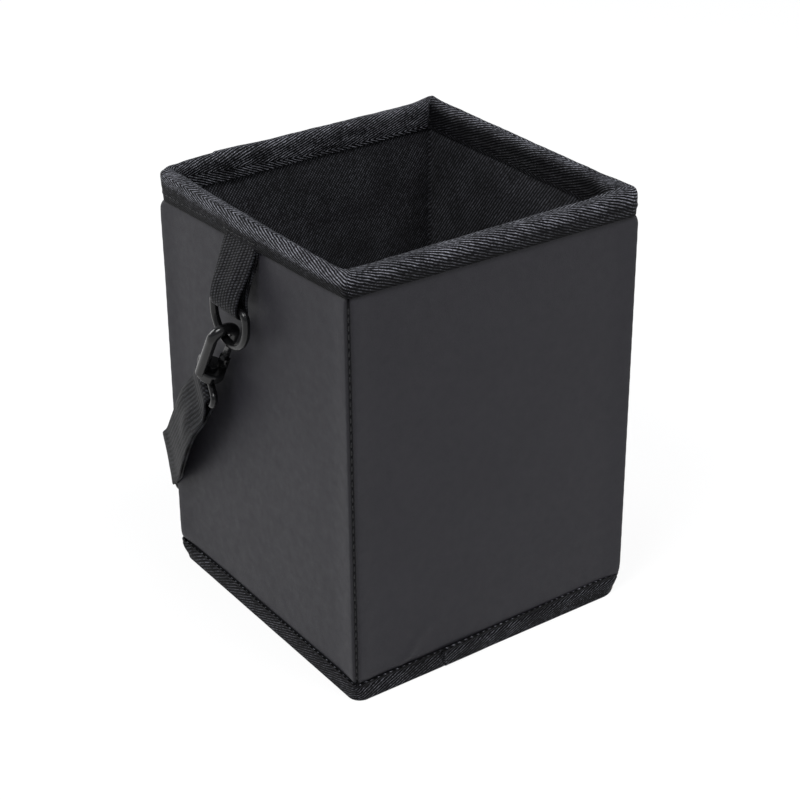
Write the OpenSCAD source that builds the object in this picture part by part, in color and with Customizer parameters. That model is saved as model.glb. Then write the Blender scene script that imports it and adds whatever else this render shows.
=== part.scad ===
// Car trash bin with a clip-on strap.
// Millimetres, Z up, origin on the underside at the middle of the base.
// The front wall faces -Y and the left wall faces -X.

/* [Bin] */
// outside width of the covers, left to right
bin_width = 148.8; // [120:0.1:200]
// outside depth of the covers, front to back
bin_depth = 148.8; // [120:0.1:200]
// height to the top of the rim tape
bin_height = 200; // [150:0.5:260]
// outside radius of the upright corners
corner_r = 4.5; // [3.5:0.1:8]
// thickness of the leatherette covers
cover_thick = 1; // [0.6:0.1:1.6]
// thickness of the stiffener boards
board_thick = 3.2; // [2:0.1:4]
// thickness of the woven lining
lining_thick = 0.8; // [0.5:0.1:1.2]
// gap between a board's end and the next wall's board, so that the corner folds
board_gap = 0.3; // [0.1:0.1:2]
// outside radius of the lining's corners
lining_corner_r = 1.2; // [1:0.1:3]
// width of the crease where two covers are sewn together
seam_gap = 0.8; // [0.4:0.1:1.6]

/* [Tape] */
// thickness of the binding tape
tape_thick = 0.7; // [0.4:0.1:1.2]
// height of the rim tape down the outside
rim_band = 9.5; // [6:0.5:16]
// height of the rim tape down the inside
rim_band_inside = 11.5; // [6:0.5:16]
// height of the base tape up the walls
base_band = 8.5; // [6:0.5:16]
// width of the base tape under the base
base_lap = 8.5; // [6:0.5:16]

/* [Stitching] */
// radius of the corner thread
thread_r = 0.35; // [0.2:0.05:0.4]
// length of one stitch
stitch_length = 2.5; // [1.5:0.1:5]
// distance from one stitch to the next
stitch_pitch = 3.7; // [2.5:0.1:8]
// clearance between the row of stitches and the tape at each end
stitch_end = 1.5; // [0.5:0.5:6]

/* [Webbing] */
// width of the strap webbing
web_width = 25; // [20:0.5:30]
// thickness of one layer of webbing
web_thick = 1.3; // [0.8:0.1:1.8]
// width that the strap gathers to inside a swivel loop
gathered_width = 20.4; // [16:0.1:24]
// clearance between webbing and the bar it turns round
web_fit = 0.12; // [0.05:0.01:0.3]
// clearance between webbing and the faces of the slider's bars
slider_fit = 0.6; // [0.3:0.05:0.9]

/* [Ring] */
// distance from the covers out to the plane of the rings
ring_out = 8.8; // [7.5:0.1:12]
// position of the rings, front to back
ring_y = 2.7; // [-20:0.1:20]
// drop from the rim tape's lower edge to the middle of a ring's bow
ring_drop = 33.2; // [25:0.1:50]
// inside width of a ring
ring_inside = 22.5; // [18:0.1:30]
// radius of a ring's wire
ring_wire_r = 1.8; // [1.2:0.1:2.4]
// straight length of a ring's arms
ring_arm = 2.5; // [0:0.1:12]
// bend radius at the ends of a ring's bar
ring_bend = 3; // [2.2:0.1:6]
// width of a ring tab at the rim
tab_width = 24.6; // [18:0.1:30]
// width of a ring tab where the ring gathers it
tab_gathered = 21.4; // [16:0.1:28]
// depth that the ends of a ring tab run up under the rim tape
tab_tuck = 6; // [3:0.5:8]

/* [Hook] */
// lean of the left hook towards the back
left_lean = 30; // [0:1:45]
// lean of the right hook towards the back
right_lean = 38; // [0:1:45]
// turn of the swivel loops in their collars
swivel_turn = 16; // [-30:1:30]
// radius of the hook's wire
hook_wire_r = 2.5; // [1.8:0.1:3]
// bend radius of the claw, along the middle of its wire
claw_r = 5.4; // [4.5:0.1:8]
// clearance between the claw and the ring it hangs on
claw_fit = 0.15; // [0.05:0.01:0.4]
// drop of the claw's nose below the middle of the ring's wire
nose_drop = 4.8; // [2.5:0.1:8]
// drop of the collar's top below the middle of the ring's wire
collar_drop = 22.5; // [18:0.1:30]
// height of the collar
collar_height = 5.5; // [3:0.1:8]
// radius of the collar
collar_r = 6.3; // [5:0.1:8]
// edge radius of the collar
collar_edge = 1; // [0.4:0.1:2]
// height of the gate's ears above the collar
ear_height = 5; // [4:0.1:8]

/* [Gate] */
// width of the gate, along its pin
gate_width = 2.5; // [1.6:0.1:3]
// thickness of the gate
gate_thick = 2.2; // [1.4:0.1:3]
// height of the gate's pin above the collar's top
gate_pin_rise = 3.3; // [2.4:0.1:5]
// radius of the gate's pin
gate_pin_r = 0.7; // [0.5:0.05:1]
// clearance around the gate's pin
pin_fit = 0.1; // [0.05:0.01:0.2]
// clearance between the gate and its ears, each side
gate_fit = 0.2; // [0.1:0.05:0.4]
// clearance between the gate's end and the claw's nose
latch_fit = 0.25; // [0.1:0.05:0.6]

/* [Swivel] */
// radius of the swivel's shank
shank_r = 1.6; // [1.2:0.05:2.2]
// clearance between the shank and the collar's bore
shank_fit = 0.25; // [0.1:0.05:0.5]
// radius of the shank's head
shank_head_r = 2.6; // [2.2:0.1:3]
// height of the shank's head
shank_head = 1.9; // [1:0.1:2.5]
// end play of the swivel in the collar
swivel_play = 0.2; // [0.1:0.05:0.6]
// radius of the swivel loop's wire
loop_wire_r = 1.6; // [1.2:0.1:2.2]
// inside width of the swivel loop at its bar
loop_inside = 21.4; // [18:0.1:30]
// bend radius of the swivel loop's corners, along the middle of its wire
loop_bend = 2.4; // [1.8:0.1:2.8]
// drop of the loop's bar below the middle of the ring's wire
bar_drop = 35.8; // [32:0.1:50]

/* [Slider] */
// width of the slider across the strap
slider_width = 31.6; // [28:0.2:38]
// distance from the slider's middle bar to each outer bar
slider_pitch = 9; // [7:0.5:12]
// radius of the slider's bars
slider_bar_r = 1.3; // [1:0.1:1.8]
// bend radius of the slider's corners, along the middle of its bars
slider_bend = 3; // [2:0.1:5]

/* [Strap run] */
// distance of the strap outside the covers at the sides
strap_side_out = 9.8; // [8:0.1:14]
// distance of the strap behind the covers at the back
strap_back_out = 9.2; // [6:0.1:14]
// height of the strap behind the middle of the bin
strap_mid = 47; // [25:0.5:90]
// height of the strap where it passes the right back corner
strap_right_low = 77; // [25:0.5:110]
// how far inside its line along the side the strap turns each back corner
strap_turn_in = 6.4; // [4:0.1:9]
// straight length of strap below each swivel's bar
bar_lead = 10; // [8:0.5:14]
// distance of the slider's middle from the left side of the covers
slider_in = 12.5; // [6:0.5:30]
// distance of the slider's middle outside the strap's usual place behind the covers
slider_out = 0.7; // [-2:0.1:6]
// height of the slider's middle
slider_low = 45; // [25:0.5:80]
// height above the slider's middle at which the strap turns the left back corner
left_rise = 6.5; // [4:0.5:30]
// straight length of strap before and after the slider's middle
slider_lead = 13; // [12:0.5:20]
// length of strap doubled back at the right swivel
right_double = 30; // [15:1:60]

/* [Output] */
// node to draw, or all

/* [Hidden] */
$fn = 48;

leatherette = [0.22, 0.23, 0.25];
board_grey = [0.55, 0.52, 0.47];
woven_black = [0.05, 0.05, 0.06];
twill_black = [0.08, 0.08, 0.09];
moulded_black = [0.03, 0.03, 0.035];

front = 0;
right = 1;
back = 2;
left = 3;

wall_thick = cover_thick + board_thick + lining_thick;
fold_r = wall_thick / 2 + tape_thick;
fold_z = bin_height - fold_r;
rim_w = bin_width - wall_thick;
rim_d = bin_depth - wall_thick;
rim_corner_r = corner_r - wall_thick / 2;
lining_w = bin_width - 2 * (cover_thick + board_thick);
lining_d = bin_depth - 2 * (cover_thick + board_thick);
floor_z = tape_thick + board_thick;
board_top = fold_z + sqrt(pow(wall_thick / 2, 2) - pow(board_thick / 2 + 0.1, 2));
rim_band_z = bin_height - rim_band;
tuck_thick = web_thick;

ring_x = bin_width / 2 + ring_out;
ring_z = rim_band_z - ring_drop;
ring_mid_r = ring_inside / 2 + ring_wire_r;
ring_bar_z = ring_z + ring_arm + ring_bend;

claw_z = ring_wire_r + claw_fit + hook_wire_r - claw_r;
gate_pin_z = gate_pin_rise - collar_drop;
gate_end_z = -nose_drop - latch_fit;
bore_r = shank_r + shank_fit;
yoke_drop = collar_drop + collar_height + swivel_play + loop_wire_r;
loop_corner = loop_inside / 2 + loop_wire_r;
wrap_r = loop_wire_r + web_fit;

bar_offset = web_thick / 2 + slider_fit + slider_bar_r;
tail_r = slider_bar_r + web_fit;

function tilt(v, a) = [v[0], v[1] * cos(a) - v[2] * sin(a), v[1] * sin(a) + v[2] * cos(a)];
function mirrored(v) = [-v[0], v[1], v[2]];
function unit(v) = v / norm(v);
function square_to(v, t) = unit(v - (v * t) * t);
function hook_at(lean) = [-ring_x, ring_y + ring_mid_r * sin(lean), ring_z - ring_mid_r * cos(lean)];
function below_hook(lean, drop) = hook_at(lean) + tilt([0, 0, -drop], lean);
function bar_at(lean) = below_hook(lean, bar_drop);
function bar_axis(lean) = tilt([sin(swivel_turn), cos(swivel_turn), 0], lean);

side_x = bin_width / 2 + strap_side_out;
back_y = bin_depth / 2 + strap_back_out;
slider_x = slider_in - bin_width / 2;
slider_at = [slider_x, back_y + slider_out, slider_low];
slider_way = unit([1, 0.02, -0.08]);
slider_edge = [-0.05, -0.38, -0.92];
slider_ease = [0.1, -0.6, 0.9];
left_corner = [-side_x + strap_turn_in * 0.85, back_y - strap_turn_in * 0.9, slider_low + left_rise];
right_corner = [side_x - strap_turn_in, back_y - strap_turn_in * 0.75, strap_right_low];

// A point on a side of the bin: shares of the way back and down from a hook's bar to where the strap turns the
// corner, and its distance out from the strap's usual place.
function beside(bar, corner, back, down, out) =
    [sign(corner[0]) * (side_x + out), bar[1] + back * (corner[1] - bar[1]), bar[2] + down * (corner[2] - bar[2])];
// A point behind the bin: share of the way from the left side to the right one, and its height.
function behind(share, height) = [(share - 0.5) * bin_width, back_y, height];

// Points that the middle of the strap passes through, from the left swivel round the back to the right one.
// Each has the direction of the strap's lower edge after it.
strap_stations = [
    [bar_at(left_lean), -bar_axis(left_lean)],
    [below_hook(left_lean, bar_drop + bar_lead), -bar_axis(left_lean)],
    [beside(bar_at(left_lean), left_corner, 0.338, 0.36, 0.4), [-0.28, -0.79, -0.53]],
    [beside(bar_at(left_lean), left_corner, 0.6, 0.66, 0), [-0.24, -0.74, -0.62]],
    [beside(bar_at(left_lean), left_corner, 0.81, 0.87, -1.8), [-0.14, -0.58, -0.8]],
    [left_corner, [-0.05, -0.36, -0.93]],
    [slider_at - slider_lead * 0.6 * slider_way + slider_ease, slider_edge],
    [slider_at, slider_edge],
    [slider_at + slider_lead / 2 * slider_way, slider_edge],
    [slider_at + slider_lead * slider_way, slider_edge],
    [slider_at + 2 * slider_lead * slider_way, slider_edge],
    [behind(0.5, strap_mid), [0.15, 0, -0.99]],
    [behind(0.742, strap_mid * 0.66 + strap_right_low * 0.34), [0.2, 0, -0.98]],
    [behind(0.944, strap_mid * 0.32 + strap_right_low * 0.68), [0.25, 0, -0.97]],
    [right_corner, [0.12, -0.4, -0.9]],
    [beside(mirrored(bar_at(right_lean)), right_corner, 0.703, 0.749, 0.2), [0.1, -0.62, -0.78]],
    [beside(mirrored(bar_at(right_lean)), right_corner, 0.398, 0.45, 0), [0.22, -0.7, -0.66]],
    [mirrored(below_hook(right_lean, bar_drop + bar_lead)), -mirrored(bar_axis(right_lean))],
    [mirrored(bar_at(right_lean)), -mirrored(bar_axis(right_lean))]
];
strap_steps = 7;
strap_spans = len(strap_stations) - 1;
strap_count = strap_spans * strap_steps;

function station(i) = strap_stations[max(0, min(strap_spans, i))];
function curve(a, b, c, d, t) =
    0.5 * (2 * b + (c - a) * t + (2 * a - 5 * b + 4 * c - d) * t * t + (3 * b - a - 3 * c + d) * t * t * t);
function ghost(i, k) = 2 * station(i)[0] - station(k)[0];
function strap_point(s) =
    let (i = min(strap_spans - 1, floor(s)))
    curve(i == 0 ? ghost(0, 1) : station(i - 1)[0], station(i)[0], station(i + 1)[0],
          i == strap_spans - 1 ? ghost(strap_spans, strap_spans - 1) : station(i + 2)[0], s - i);
function strap_along(s) = unit(strap_point(min(strap_spans, s + 0.02)) - strap_point(max(0, s - 0.02)));
function strap_across(s) =
    let (i = min(strap_spans - 1, floor(s)))
    square_to(station(i)[1] * (1 - s + i) + station(i + 1)[1] * (s - i), strap_along(s));
function step_at(k) = k / strap_steps;
function strap_run(k) = k == 0 ? 0 : strap_run(k - 1) + norm(strap_point(step_at(k)) - strap_point(step_at(k - 1)));
function ease(x) = let (t = max(0, min(1, x))) t * t * (3 - 2 * t);

strap_total = strap_run(strap_count);
slider_step = 7;
slider_run = strap_run(slider_step * strap_steps);
end_reach = 12;
wrap_half = wrap_r + web_thick;
end_half = wrap_half - 0.3;

// Half width of the strap at a distance along it.
function half_width(d) =
    let (e = min(ease(d / end_reach), ease((strap_total - d) / end_reach)))
    (gathered_width + (web_width - gathered_width) * e) / 2;
// The strap's inner face, measured out from its middle line.
function inner_face(d) =
    let (e = min(ease(d / end_reach), ease((strap_total - d) / end_reach)))
    -end_half + (end_half - web_thick / 2) * e;
// The strap's outer face: two layers before the slider and at the right end, one layer between them.
function outer_face(d) =
    let (e = min(ease(d / end_reach), ease((strap_total - d) / end_reach)),
         doubled = d < slider_run - slider_lead || d > strap_total - right_double,
         flat = doubled ? web_thick * 1.5 : web_thick / 2)
    end_half + (flat - end_half) * e;

module rounded_rect(w, d, r) {
    square([w - 2 * r, d], center = true);
    square([w, d - 2 * r], center = true);
    for (x = [-1, 1], y = [-1, 1])
        translate([x * (w / 2 - r), y * (d / 2 - r)])
            circle(r);
}

// A frame of wall: outside size, corner radius, thickness, and heights of its bottom and top.
module wall_frame(w, d, r, thick, z0, z1) {
    translate([0, 0, z0])
        linear_extrude(z1 - z0)
            difference() {
                rounded_rect(w, d, r);
                rounded_rect(w - 2 * thick, d - 2 * thick, r - thick);
            }
}

// The part of the plan that belongs to one side of the bin, cut off by the corners' diagonals.
module side_zone(side, gap) {
    span = side % 2 == 0 ? bin_width : bin_depth;
    reach = side % 2 == 0 ? bin_depth : bin_width;
    far = 2;
    deep = 15;
    shift = gap / sqrt(2);
    rotate(90 * side)
        translate([0, -reach / 2])
            polygon([[-span / 2 - far + shift, -far], [span / 2 + far - shift, -far],
                     [span / 2 - deep - shift, deep], [-span / 2 + deep + shift, deep]]);
}

module cover(side) {
    color(leatherette)
        intersection() {
            wall_frame(bin_width, bin_depth, corner_r, cover_thick, tape_thick, fold_z);
            linear_extrude(bin_height)
                side_zone(side, seam_gap);
        }
}

module board(side) {
    span = side % 2 == 0 ? bin_width : bin_depth;
    reach = side % 2 == 0 ? bin_depth : bin_width;
    length = span - 2 * (cover_thick + board_thick + board_gap);
    color(board_grey)
        rotate(90 * side)
            translate([-length / 2, cover_thick - reach / 2, floor_z])
                cube([length, board_thick, board_top - floor_z]);
}

module lining(side) {
    color(woven_black)
        intersection() {
            wall_frame(lining_w, lining_d, lining_corner_r, lining_thick, floor_z, fold_z);
            linear_extrude(bin_height)
                side_zone(side, 0);
        }
}

module base_cover() {
    color(leatherette)
        linear_extrude(tape_thick)
            square([bin_width - 2 * base_lap, bin_depth - 2 * base_lap], center = true);
}

module base_board() {
    color(board_grey)
        translate([0, 0, tape_thick])
            linear_extrude(board_thick)
                rounded_rect(bin_width - 2 * cover_thick, bin_depth - 2 * cover_thick, corner_r - cover_thick);
}

module base_lining() {
    color(woven_black)
        translate([0, 0, floor_z])
            linear_extrude(lining_thick)
                rounded_rect(lining_w - 2 * lining_thick, lining_d - 2 * lining_thick,
                             lining_corner_r - lining_thick);
}

// Section of the rim on the outer side of its middle line: half is the half thickness, low its lower end.
module outer_half_section(half, low) {
    translate([0, low])
        square([half, fold_z - low]);
    intersection() {
        translate([0, fold_z])
            circle(half);
        translate([0, fold_z - half])
            square([half, 2 * half]);
    }
}

module rim_solid(half, low_out, low_in) {
    for (side = [front, right, back, left]) {
        span = side % 2 == 0 ? rim_w : rim_d;
        reach = side % 2 == 0 ? rim_d : rim_w;
        straight = span - 2 * rim_corner_r;
        rotate(90 * side)
            translate([0, -reach / 2, 0]) {
                rotate([90, 0, -90])
                    linear_extrude(straight, center = true)
                        outer_half_section(half, low_out);
                rotate([90, 0, 90])
                    linear_extrude(span, center = true)
                        outer_half_section(half, low_in);
                translate([span / 2 - rim_corner_r, rim_corner_r, 0])
                    rotate(-90)
                        rotate_extrude(angle = 90) {
                            translate([rim_corner_r, 0])
                                outer_half_section(half, low_out);
                            translate([0, low_out])
                                square([rim_corner_r, fold_z + half - low_out]);
                        }
            }
    }
}

// Room for the ends of a ring tab between the left cover and the rim tape.
module tab_pocket(grow, low) {
    translate([-bin_width / 2 - tuck_thick - grow, ring_y - tab_width / 2 - grow, low])
        cube([tuck_thick + grow, tab_width + 2 * grow, rim_band_z + tab_tuck + grow - low]);
}

module rim_tape() {
    color(twill_black)
        difference() {
            union() {
                rim_solid(fold_r, rim_band_z, bin_height - rim_band_inside);
                tab_pocket(tape_thick, rim_band_z);
                mirror([1, 0, 0])
                    tab_pocket(tape_thick, rim_band_z);
            }
            rim_solid(wall_thick / 2, rim_band_z - 1, bin_height - rim_band_inside - 1);
            tab_pocket(0, rim_band_z - 1);
            mirror([1, 0, 0])
                tab_pocket(0, rim_band_z - 1);
        }
}

module base_tape() {
    color(twill_black)
        difference() {
            linear_extrude(base_band)
                rounded_rect(bin_width + 2 * tape_thick, bin_depth + 2 * tape_thick, corner_r + tape_thick);
            translate([0, 0, tape_thick])
                linear_extrude(base_band)
                    rounded_rect(bin_width, bin_depth, corner_r);
            translate([0, 0, -1])
                linear_extrude(base_band)
                    square([bin_width - 2 * base_lap, bin_depth - 2 * base_lap], center = true);
        }
}

// Running stitches in the crease of one upright corner: x and y are the corner's signs.
module corner_stitching(x, y) {
    low = base_band + stitch_end;
    high = rim_band_z - stitch_end;
    count = floor((high - low - stitch_length) / stitch_pitch) + 1;
    spare = (high - low - stitch_length - (count - 1) * stitch_pitch) / 2;
    reach = corner_r - cover_thick / 2;
    color(woven_black)
        translate([x * (bin_width / 2 - corner_r + reach / sqrt(2)),
                   y * (bin_depth / 2 - corner_r + reach / sqrt(2)), low + spare])
            for (i = [0 : count - 1])
                translate([0, 0, i * stitch_pitch])
                    cylinder(h = stitch_length, r = thread_r);
}

// A straight layer of webbing in the tab's section, from a point down to its tangent on the ring's bar.
module tab_layer(p, side, reach) {
    c = [-(ring_x - bin_width / 2), ring_bar_z];
    away = c - p;
    length = norm(away);
    swing = asin(reach / length);
    rotate_to = atan2(away[1], away[0]) + side * swing;
    translate(p)
        rotate(rotate_to)
            translate([0, -web_thick / 2])
                square([sqrt(length * length - reach * reach), web_thick]);
}

// Loop of webbing that holds the left ring's bar, with its ends tucked up under the rim tape.
module ring_tab() {
    bar = [-(ring_x - bin_width / 2), ring_bar_z];
    inner = ring_wire_r + web_fit;
    top = rim_band_z - 0.5;
    color(twill_black)
        intersection() {
            translate([-bin_width / 2, ring_y, 0])
                rotate([90, 0, 0])
                    linear_extrude(tab_width, center = true)
                        difference() {
                            union() {
                                translate(bar)
                                    circle(inner + web_thick);
                                tab_layer([-web_thick * 0.95, top], -1, inner + web_thick / 2);
                                tab_layer([-web_thick * 0.55, top - 0.6], 1, inner + web_thick / 2);
                                translate([-tuck_thick, top - 1])
                                    square([tuck_thick, tab_tuck + 1.4]);
                            }
                            translate(bar)
                                circle(inner);
                        }
            translate([-bin_width, ring_y, 0])
                rotate([90, 0, 90])
                    linear_extrude(bin_width)
                        polygon([[-tab_gathered / 2, 0], [tab_gathered / 2, 0],
                                 [tab_gathered / 2, ring_bar_z + 2], [tab_width / 2, rim_band_z - 4],
                                 [tab_width / 2, bin_height], [-tab_width / 2, bin_height],
                                 [-tab_width / 2, rim_band_z - 4], [-tab_gathered / 2, ring_bar_z + 2]]);
        }
}

// D-ring in its own plane: the bow below, the straight bar above.
module ring_shape() {
    rotate(180)
        rotate_extrude(angle = 180)
            translate([ring_mid_r, 0])
                circle(ring_wire_r);
    for (s = [0, 1])
        mirror([s, 0, 0]) {
            translate([ring_mid_r, 0, 0])
                rotate([-90, 0, 0])
                    cylinder(h = ring_arm, r = ring_wire_r);
            translate([ring_mid_r - ring_bend, ring_arm, 0])
                rotate_extrude(angle = 90)
                    translate([ring_bend, 0])
                        circle(ring_wire_r);
        }
    translate([0, ring_arm + ring_bend, 0])
        rotate([0, 90, 0])
            cylinder(h = 2 * (ring_mid_r - ring_bend), r = ring_wire_r, center = true);
}

module d_ring() {
    color(moulded_black)
        translate([-ring_x, ring_y, ring_z])
            rotate([90, 0, 90])
                ring_shape();
}

module at_hook(lean) {
    translate(hook_at(lean))
        rotate([lean, 0, 0])
            children();
}

// Hook in its own frame: claw up, mouth towards the bin at +X, origin in the middle of the ring's wire.
module hook_shape() {
    ear_top = ear_height - collar_drop;
    sink = 2;
    difference() {
        union() {
            translate([0, 0, claw_z])
                rotate([90, 0, 0])
                    rotate_extrude(angle = 180)
                        translate([claw_r, 0])
                            circle(hook_wire_r);
            translate([claw_r, 0, -nose_drop])
                cylinder(h = nose_drop + claw_z, r = hook_wire_r);
            translate([-claw_r, 0, -collar_drop - sink])
                cylinder(h = collar_drop + sink + claw_z, r = hook_wire_r);
            translate([claw_r, 0, -collar_drop - sink])
                cylinder(h = ear_height + sink, r = hook_wire_r);
            translate([0, 0, -collar_drop - collar_height])
                rotate_extrude()
                    collar_section();
        }
        translate([claw_r - collar_r, -gate_width / 2 - gate_fit, -collar_drop + 0.6])
            cube([2 * collar_r, gate_width + 2 * gate_fit, ear_height + 1]);
        translate([claw_r, 0, gate_pin_z])
            rotate([90, 0, 0])
                cylinder(h = 3 * hook_wire_r, r = gate_pin_r + pin_fit, center = true);
        translate([0, 0, -collar_drop - collar_height - 1])
            cylinder(h = collar_height + 2, r = bore_r);
    }
}

module collar_section() {
    square([collar_r - collar_edge, collar_height]);
    translate([0, collar_edge])
        square([collar_r, collar_height - 2 * collar_edge]);
    for (z = [collar_edge, collar_height - collar_edge])
        translate([collar_r - collar_edge, z])
            circle(collar_edge);
}

// Gate in the hook's frame, shut against the nose.
module gate_shape() {
    barrel_r = 1.9;
    end_length = 3.4;
    end_r = hook_wire_r - 0.1;
    translate([claw_r, 0, gate_pin_z]) {
        rotate([90, 0, 0]) {
            cylinder(h = gate_width, r = barrel_r, center = true);
            cylinder(h = 2 * hook_wire_r - 0.6, r = gate_pin_r, center = true);
        }
        translate([-gate_thick / 2, -gate_width / 2, 0])
            cube([gate_thick, gate_width, gate_end_z - gate_pin_z - 0.5]);
    }
    translate([claw_r, 0, gate_end_z - end_length])
        cylinder(h = end_length, r = end_r);
}

// A closed loop of round wire in the plane z = 0: width and height along the wire's middle.
module wire_loop(width, height, bend, r) {
    for (x = [0, 1], y = [0, 1])
        mirror([x, 0, 0])
            mirror([0, y, 0]) {
                translate([width / 2 - bend, height / 2 - bend, 0])
                    rotate_extrude(angle = 90)
                        translate([bend, 0])
                            circle(r);
                translate([0, height / 2, 0])
                    rotate([0, 90, 0])
                        cylinder(h = width / 2 - bend, r = r);
                translate([width / 2, 0, 0])
                    rotate([-90, 0, 0])
                        cylinder(h = height / 2 - bend, r = r);
            }
}

// Swivel loop in the hook's frame: a headed shank through the collar, and the loop below it.
module swivel_shape() {
    translate([0, 0, -yoke_drop])
        cylinder(h = yoke_drop - collar_drop + swivel_play / 2, r = shank_r);
    translate([0, 0, -collar_drop + swivel_play / 2])
        cylinder(h = shank_head, r = shank_head_r);
    rotate(-swivel_turn)
        translate([0, 0, -(yoke_drop + bar_drop) / 2])
            rotate([90, 0, 90])
                wire_loop(2 * loop_corner, bar_drop - yoke_drop, loop_bend, loop_wire_r);
}

module strap_band() {
    rows = [for (k = [0 : strap_count])
        let (s = step_at(k), d = strap_run(k), p = strap_point(s), t = strap_along(s), w = strap_across(s),
             n = cross(t, w), h = half_width(d), o = outer_face(d), i = inner_face(d))
        [p - h * w + o * n, p + h * w + o * n, p + h * w + i * n, p - h * w + i * n]];
    points = [for (r = rows, q = r) q];
    last = 4 * strap_count;
    faces = concat([[3, 2, 1, 0]], [[last, last + 1, last + 2, last + 3]],
                   [for (k = [0 : strap_count - 1], j = [0 : 3])
                       let (a = 4 * k + j, b = 4 * k + (j + 1) % 4)
                       [a, b, b + 4]],
                   [for (k = [0 : strap_count - 1], j = [0 : 3])
                       let (a = 4 * k + j, b = 4 * k + (j + 1) % 4)
                       [a, b + 4, a + 4]]);
    polyhedron(points = points, faces = faces);
}

// A cylinder on the bar of the left swivel.
module on_bar(lean, r, length) {
    at_hook(lean)
        rotate(-swivel_turn)
            translate([0, 0, -bar_drop])
                rotate([90, 0, 0])
                    cylinder(h = length, r = r, center = true);
}

// The slider's frame: X along the strap, Y to its lower edge, Z away from the bin.
module at_slider() {
    p = strap_point(slider_step);
    t = strap_along(slider_step);
    w = strap_across(slider_step);
    n = cross(t, w);
    multmatrix([[t[0], w[0], n[0], p[0]], [t[1], w[1], n[1], p[1]], [t[2], w[2], n[2], p[2]], [0, 0, 0, 1]])
        children();
}

module slider_bar(x, z, r, length) {
    translate([x, 0, z])
        rotate([90, 0, 0])
            cylinder(h = length, r = r, center = true);
}

module strap() {
    color(twill_black)
        difference() {
            union() {
                strap_band();
                on_bar(left_lean, wrap_half, gathered_width - 0.6);
                mirror([1, 0, 0])
                    on_bar(right_lean, wrap_half, gathered_width - 0.6);
                at_slider()
                    slider_bar(-slider_pitch, bar_offset, tail_r + 0.8 * web_thick, web_width - 1);
            }
            on_bar(left_lean, wrap_r, web_width + 2);
            mirror([1, 0, 0])
                on_bar(right_lean, wrap_r, web_width + 2);
            at_slider()
                slider_bar(-slider_pitch, bar_offset, tail_r, web_width + 2);
        }
}

// Three-bar slider: a rounded frame outside the strap, and a middle bar inside it on a post at each end.
module slider() {
    color(moulded_black)
        at_slider() {
            translate([0, 0, bar_offset])
                wire_loop(2 * slider_pitch, slider_width - 2 * slider_bar_r, slider_bend, slider_bar_r);
            slider_bar(0, -bar_offset, slider_bar_r, slider_width);
            for (s = [-1, 1])
                translate([0, s * (slider_width / 2 - slider_bar_r), -bar_offset])
                    cylinder(h = 2 * bar_offset, r = slider_bar_r * 0.95);
        }
}

module front_cover() {
    cover(front);
}

module back_cover() {
    cover(back);
}

module left_cover() {
    cover(left);
}

module right_cover() {
    cover(right);
}

module front_board() {
    board(front);
}

module back_board() {
    board(back);
}

module left_board() {
    board(left);
}

module right_board() {
    board(right);
}

module front_lining() {
    lining(front);
}

module back_lining() {
    lining(back);
}

module left_lining() {
    lining(left);
}

module right_lining() {
    lining(right);
}

module left_tab() {
    ring_tab();
}

module right_tab() {
    mirror([1, 0, 0])
        ring_tab();
}

module left_ring() {
    d_ring();
}

module right_ring() {
    mirror([1, 0, 0])
        d_ring();
}

module left_hook() {
    color(moulded_black)
        at_hook(left_lean)
            hook_shape();
}

module right_hook() {
    color(moulded_black)
        mirror([1, 0, 0])
            at_hook(right_lean)
                hook_shape();
}

module left_gate() {
    color(moulded_black)
        at_hook(left_lean)
            gate_shape();
}

module right_gate() {
    color(moulded_black)
        mirror([1, 0, 0])
            at_hook(right_lean)
                gate_shape();
}

module left_swivel() {
    color(moulded_black)
        at_hook(left_lean)
            swivel_shape();
}

module right_swivel() {
    color(moulded_black)
        mirror([1, 0, 0])
            at_hook(right_lean)
                swivel_shape();
}

front_cover();
back_cover();
left_cover();
right_cover();
front_board();
back_board();
left_board();
right_board();
front_lining();
back_lining();
left_lining();
right_lining();
base_cover();
base_board();
base_lining();
rim_tape();
base_tape();
corner_stitching(-1, -1);  // front_left_stitching
corner_stitching(1, -1);  // front_right_stitching
corner_stitching(1, 1);  // back_right_stitching
corner_stitching(-1, 1);  // back_left_stitching
left_tab();
right_tab();
left_ring();
right_ring();
left_hook();
right_hook();
left_gate();
right_gate();
left_swivel();
right_swivel();
strap();
slider();
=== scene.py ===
# Car trash bin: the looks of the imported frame.
# Z up, front wall towards -Y, left wall towards -X. Shapes are worked out in millimetres and made in metres.
import bpy
import math
from mathutils import Matrix, Vector, noise


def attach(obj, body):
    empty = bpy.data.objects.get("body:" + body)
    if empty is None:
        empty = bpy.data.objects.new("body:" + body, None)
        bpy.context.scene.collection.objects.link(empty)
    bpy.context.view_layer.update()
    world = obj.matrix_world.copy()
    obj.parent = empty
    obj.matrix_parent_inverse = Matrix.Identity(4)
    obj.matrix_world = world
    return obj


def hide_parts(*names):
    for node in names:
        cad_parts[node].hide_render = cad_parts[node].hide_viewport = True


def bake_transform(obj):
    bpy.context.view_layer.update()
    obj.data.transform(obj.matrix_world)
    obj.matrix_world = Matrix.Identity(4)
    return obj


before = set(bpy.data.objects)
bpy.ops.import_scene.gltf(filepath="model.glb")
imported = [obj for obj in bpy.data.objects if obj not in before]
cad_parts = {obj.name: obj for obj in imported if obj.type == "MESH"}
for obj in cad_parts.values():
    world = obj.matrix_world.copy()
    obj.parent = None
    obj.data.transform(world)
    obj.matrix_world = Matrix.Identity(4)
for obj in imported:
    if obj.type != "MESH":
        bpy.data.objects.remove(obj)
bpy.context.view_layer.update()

mm = 0.001
print("frame loaded")


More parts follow.
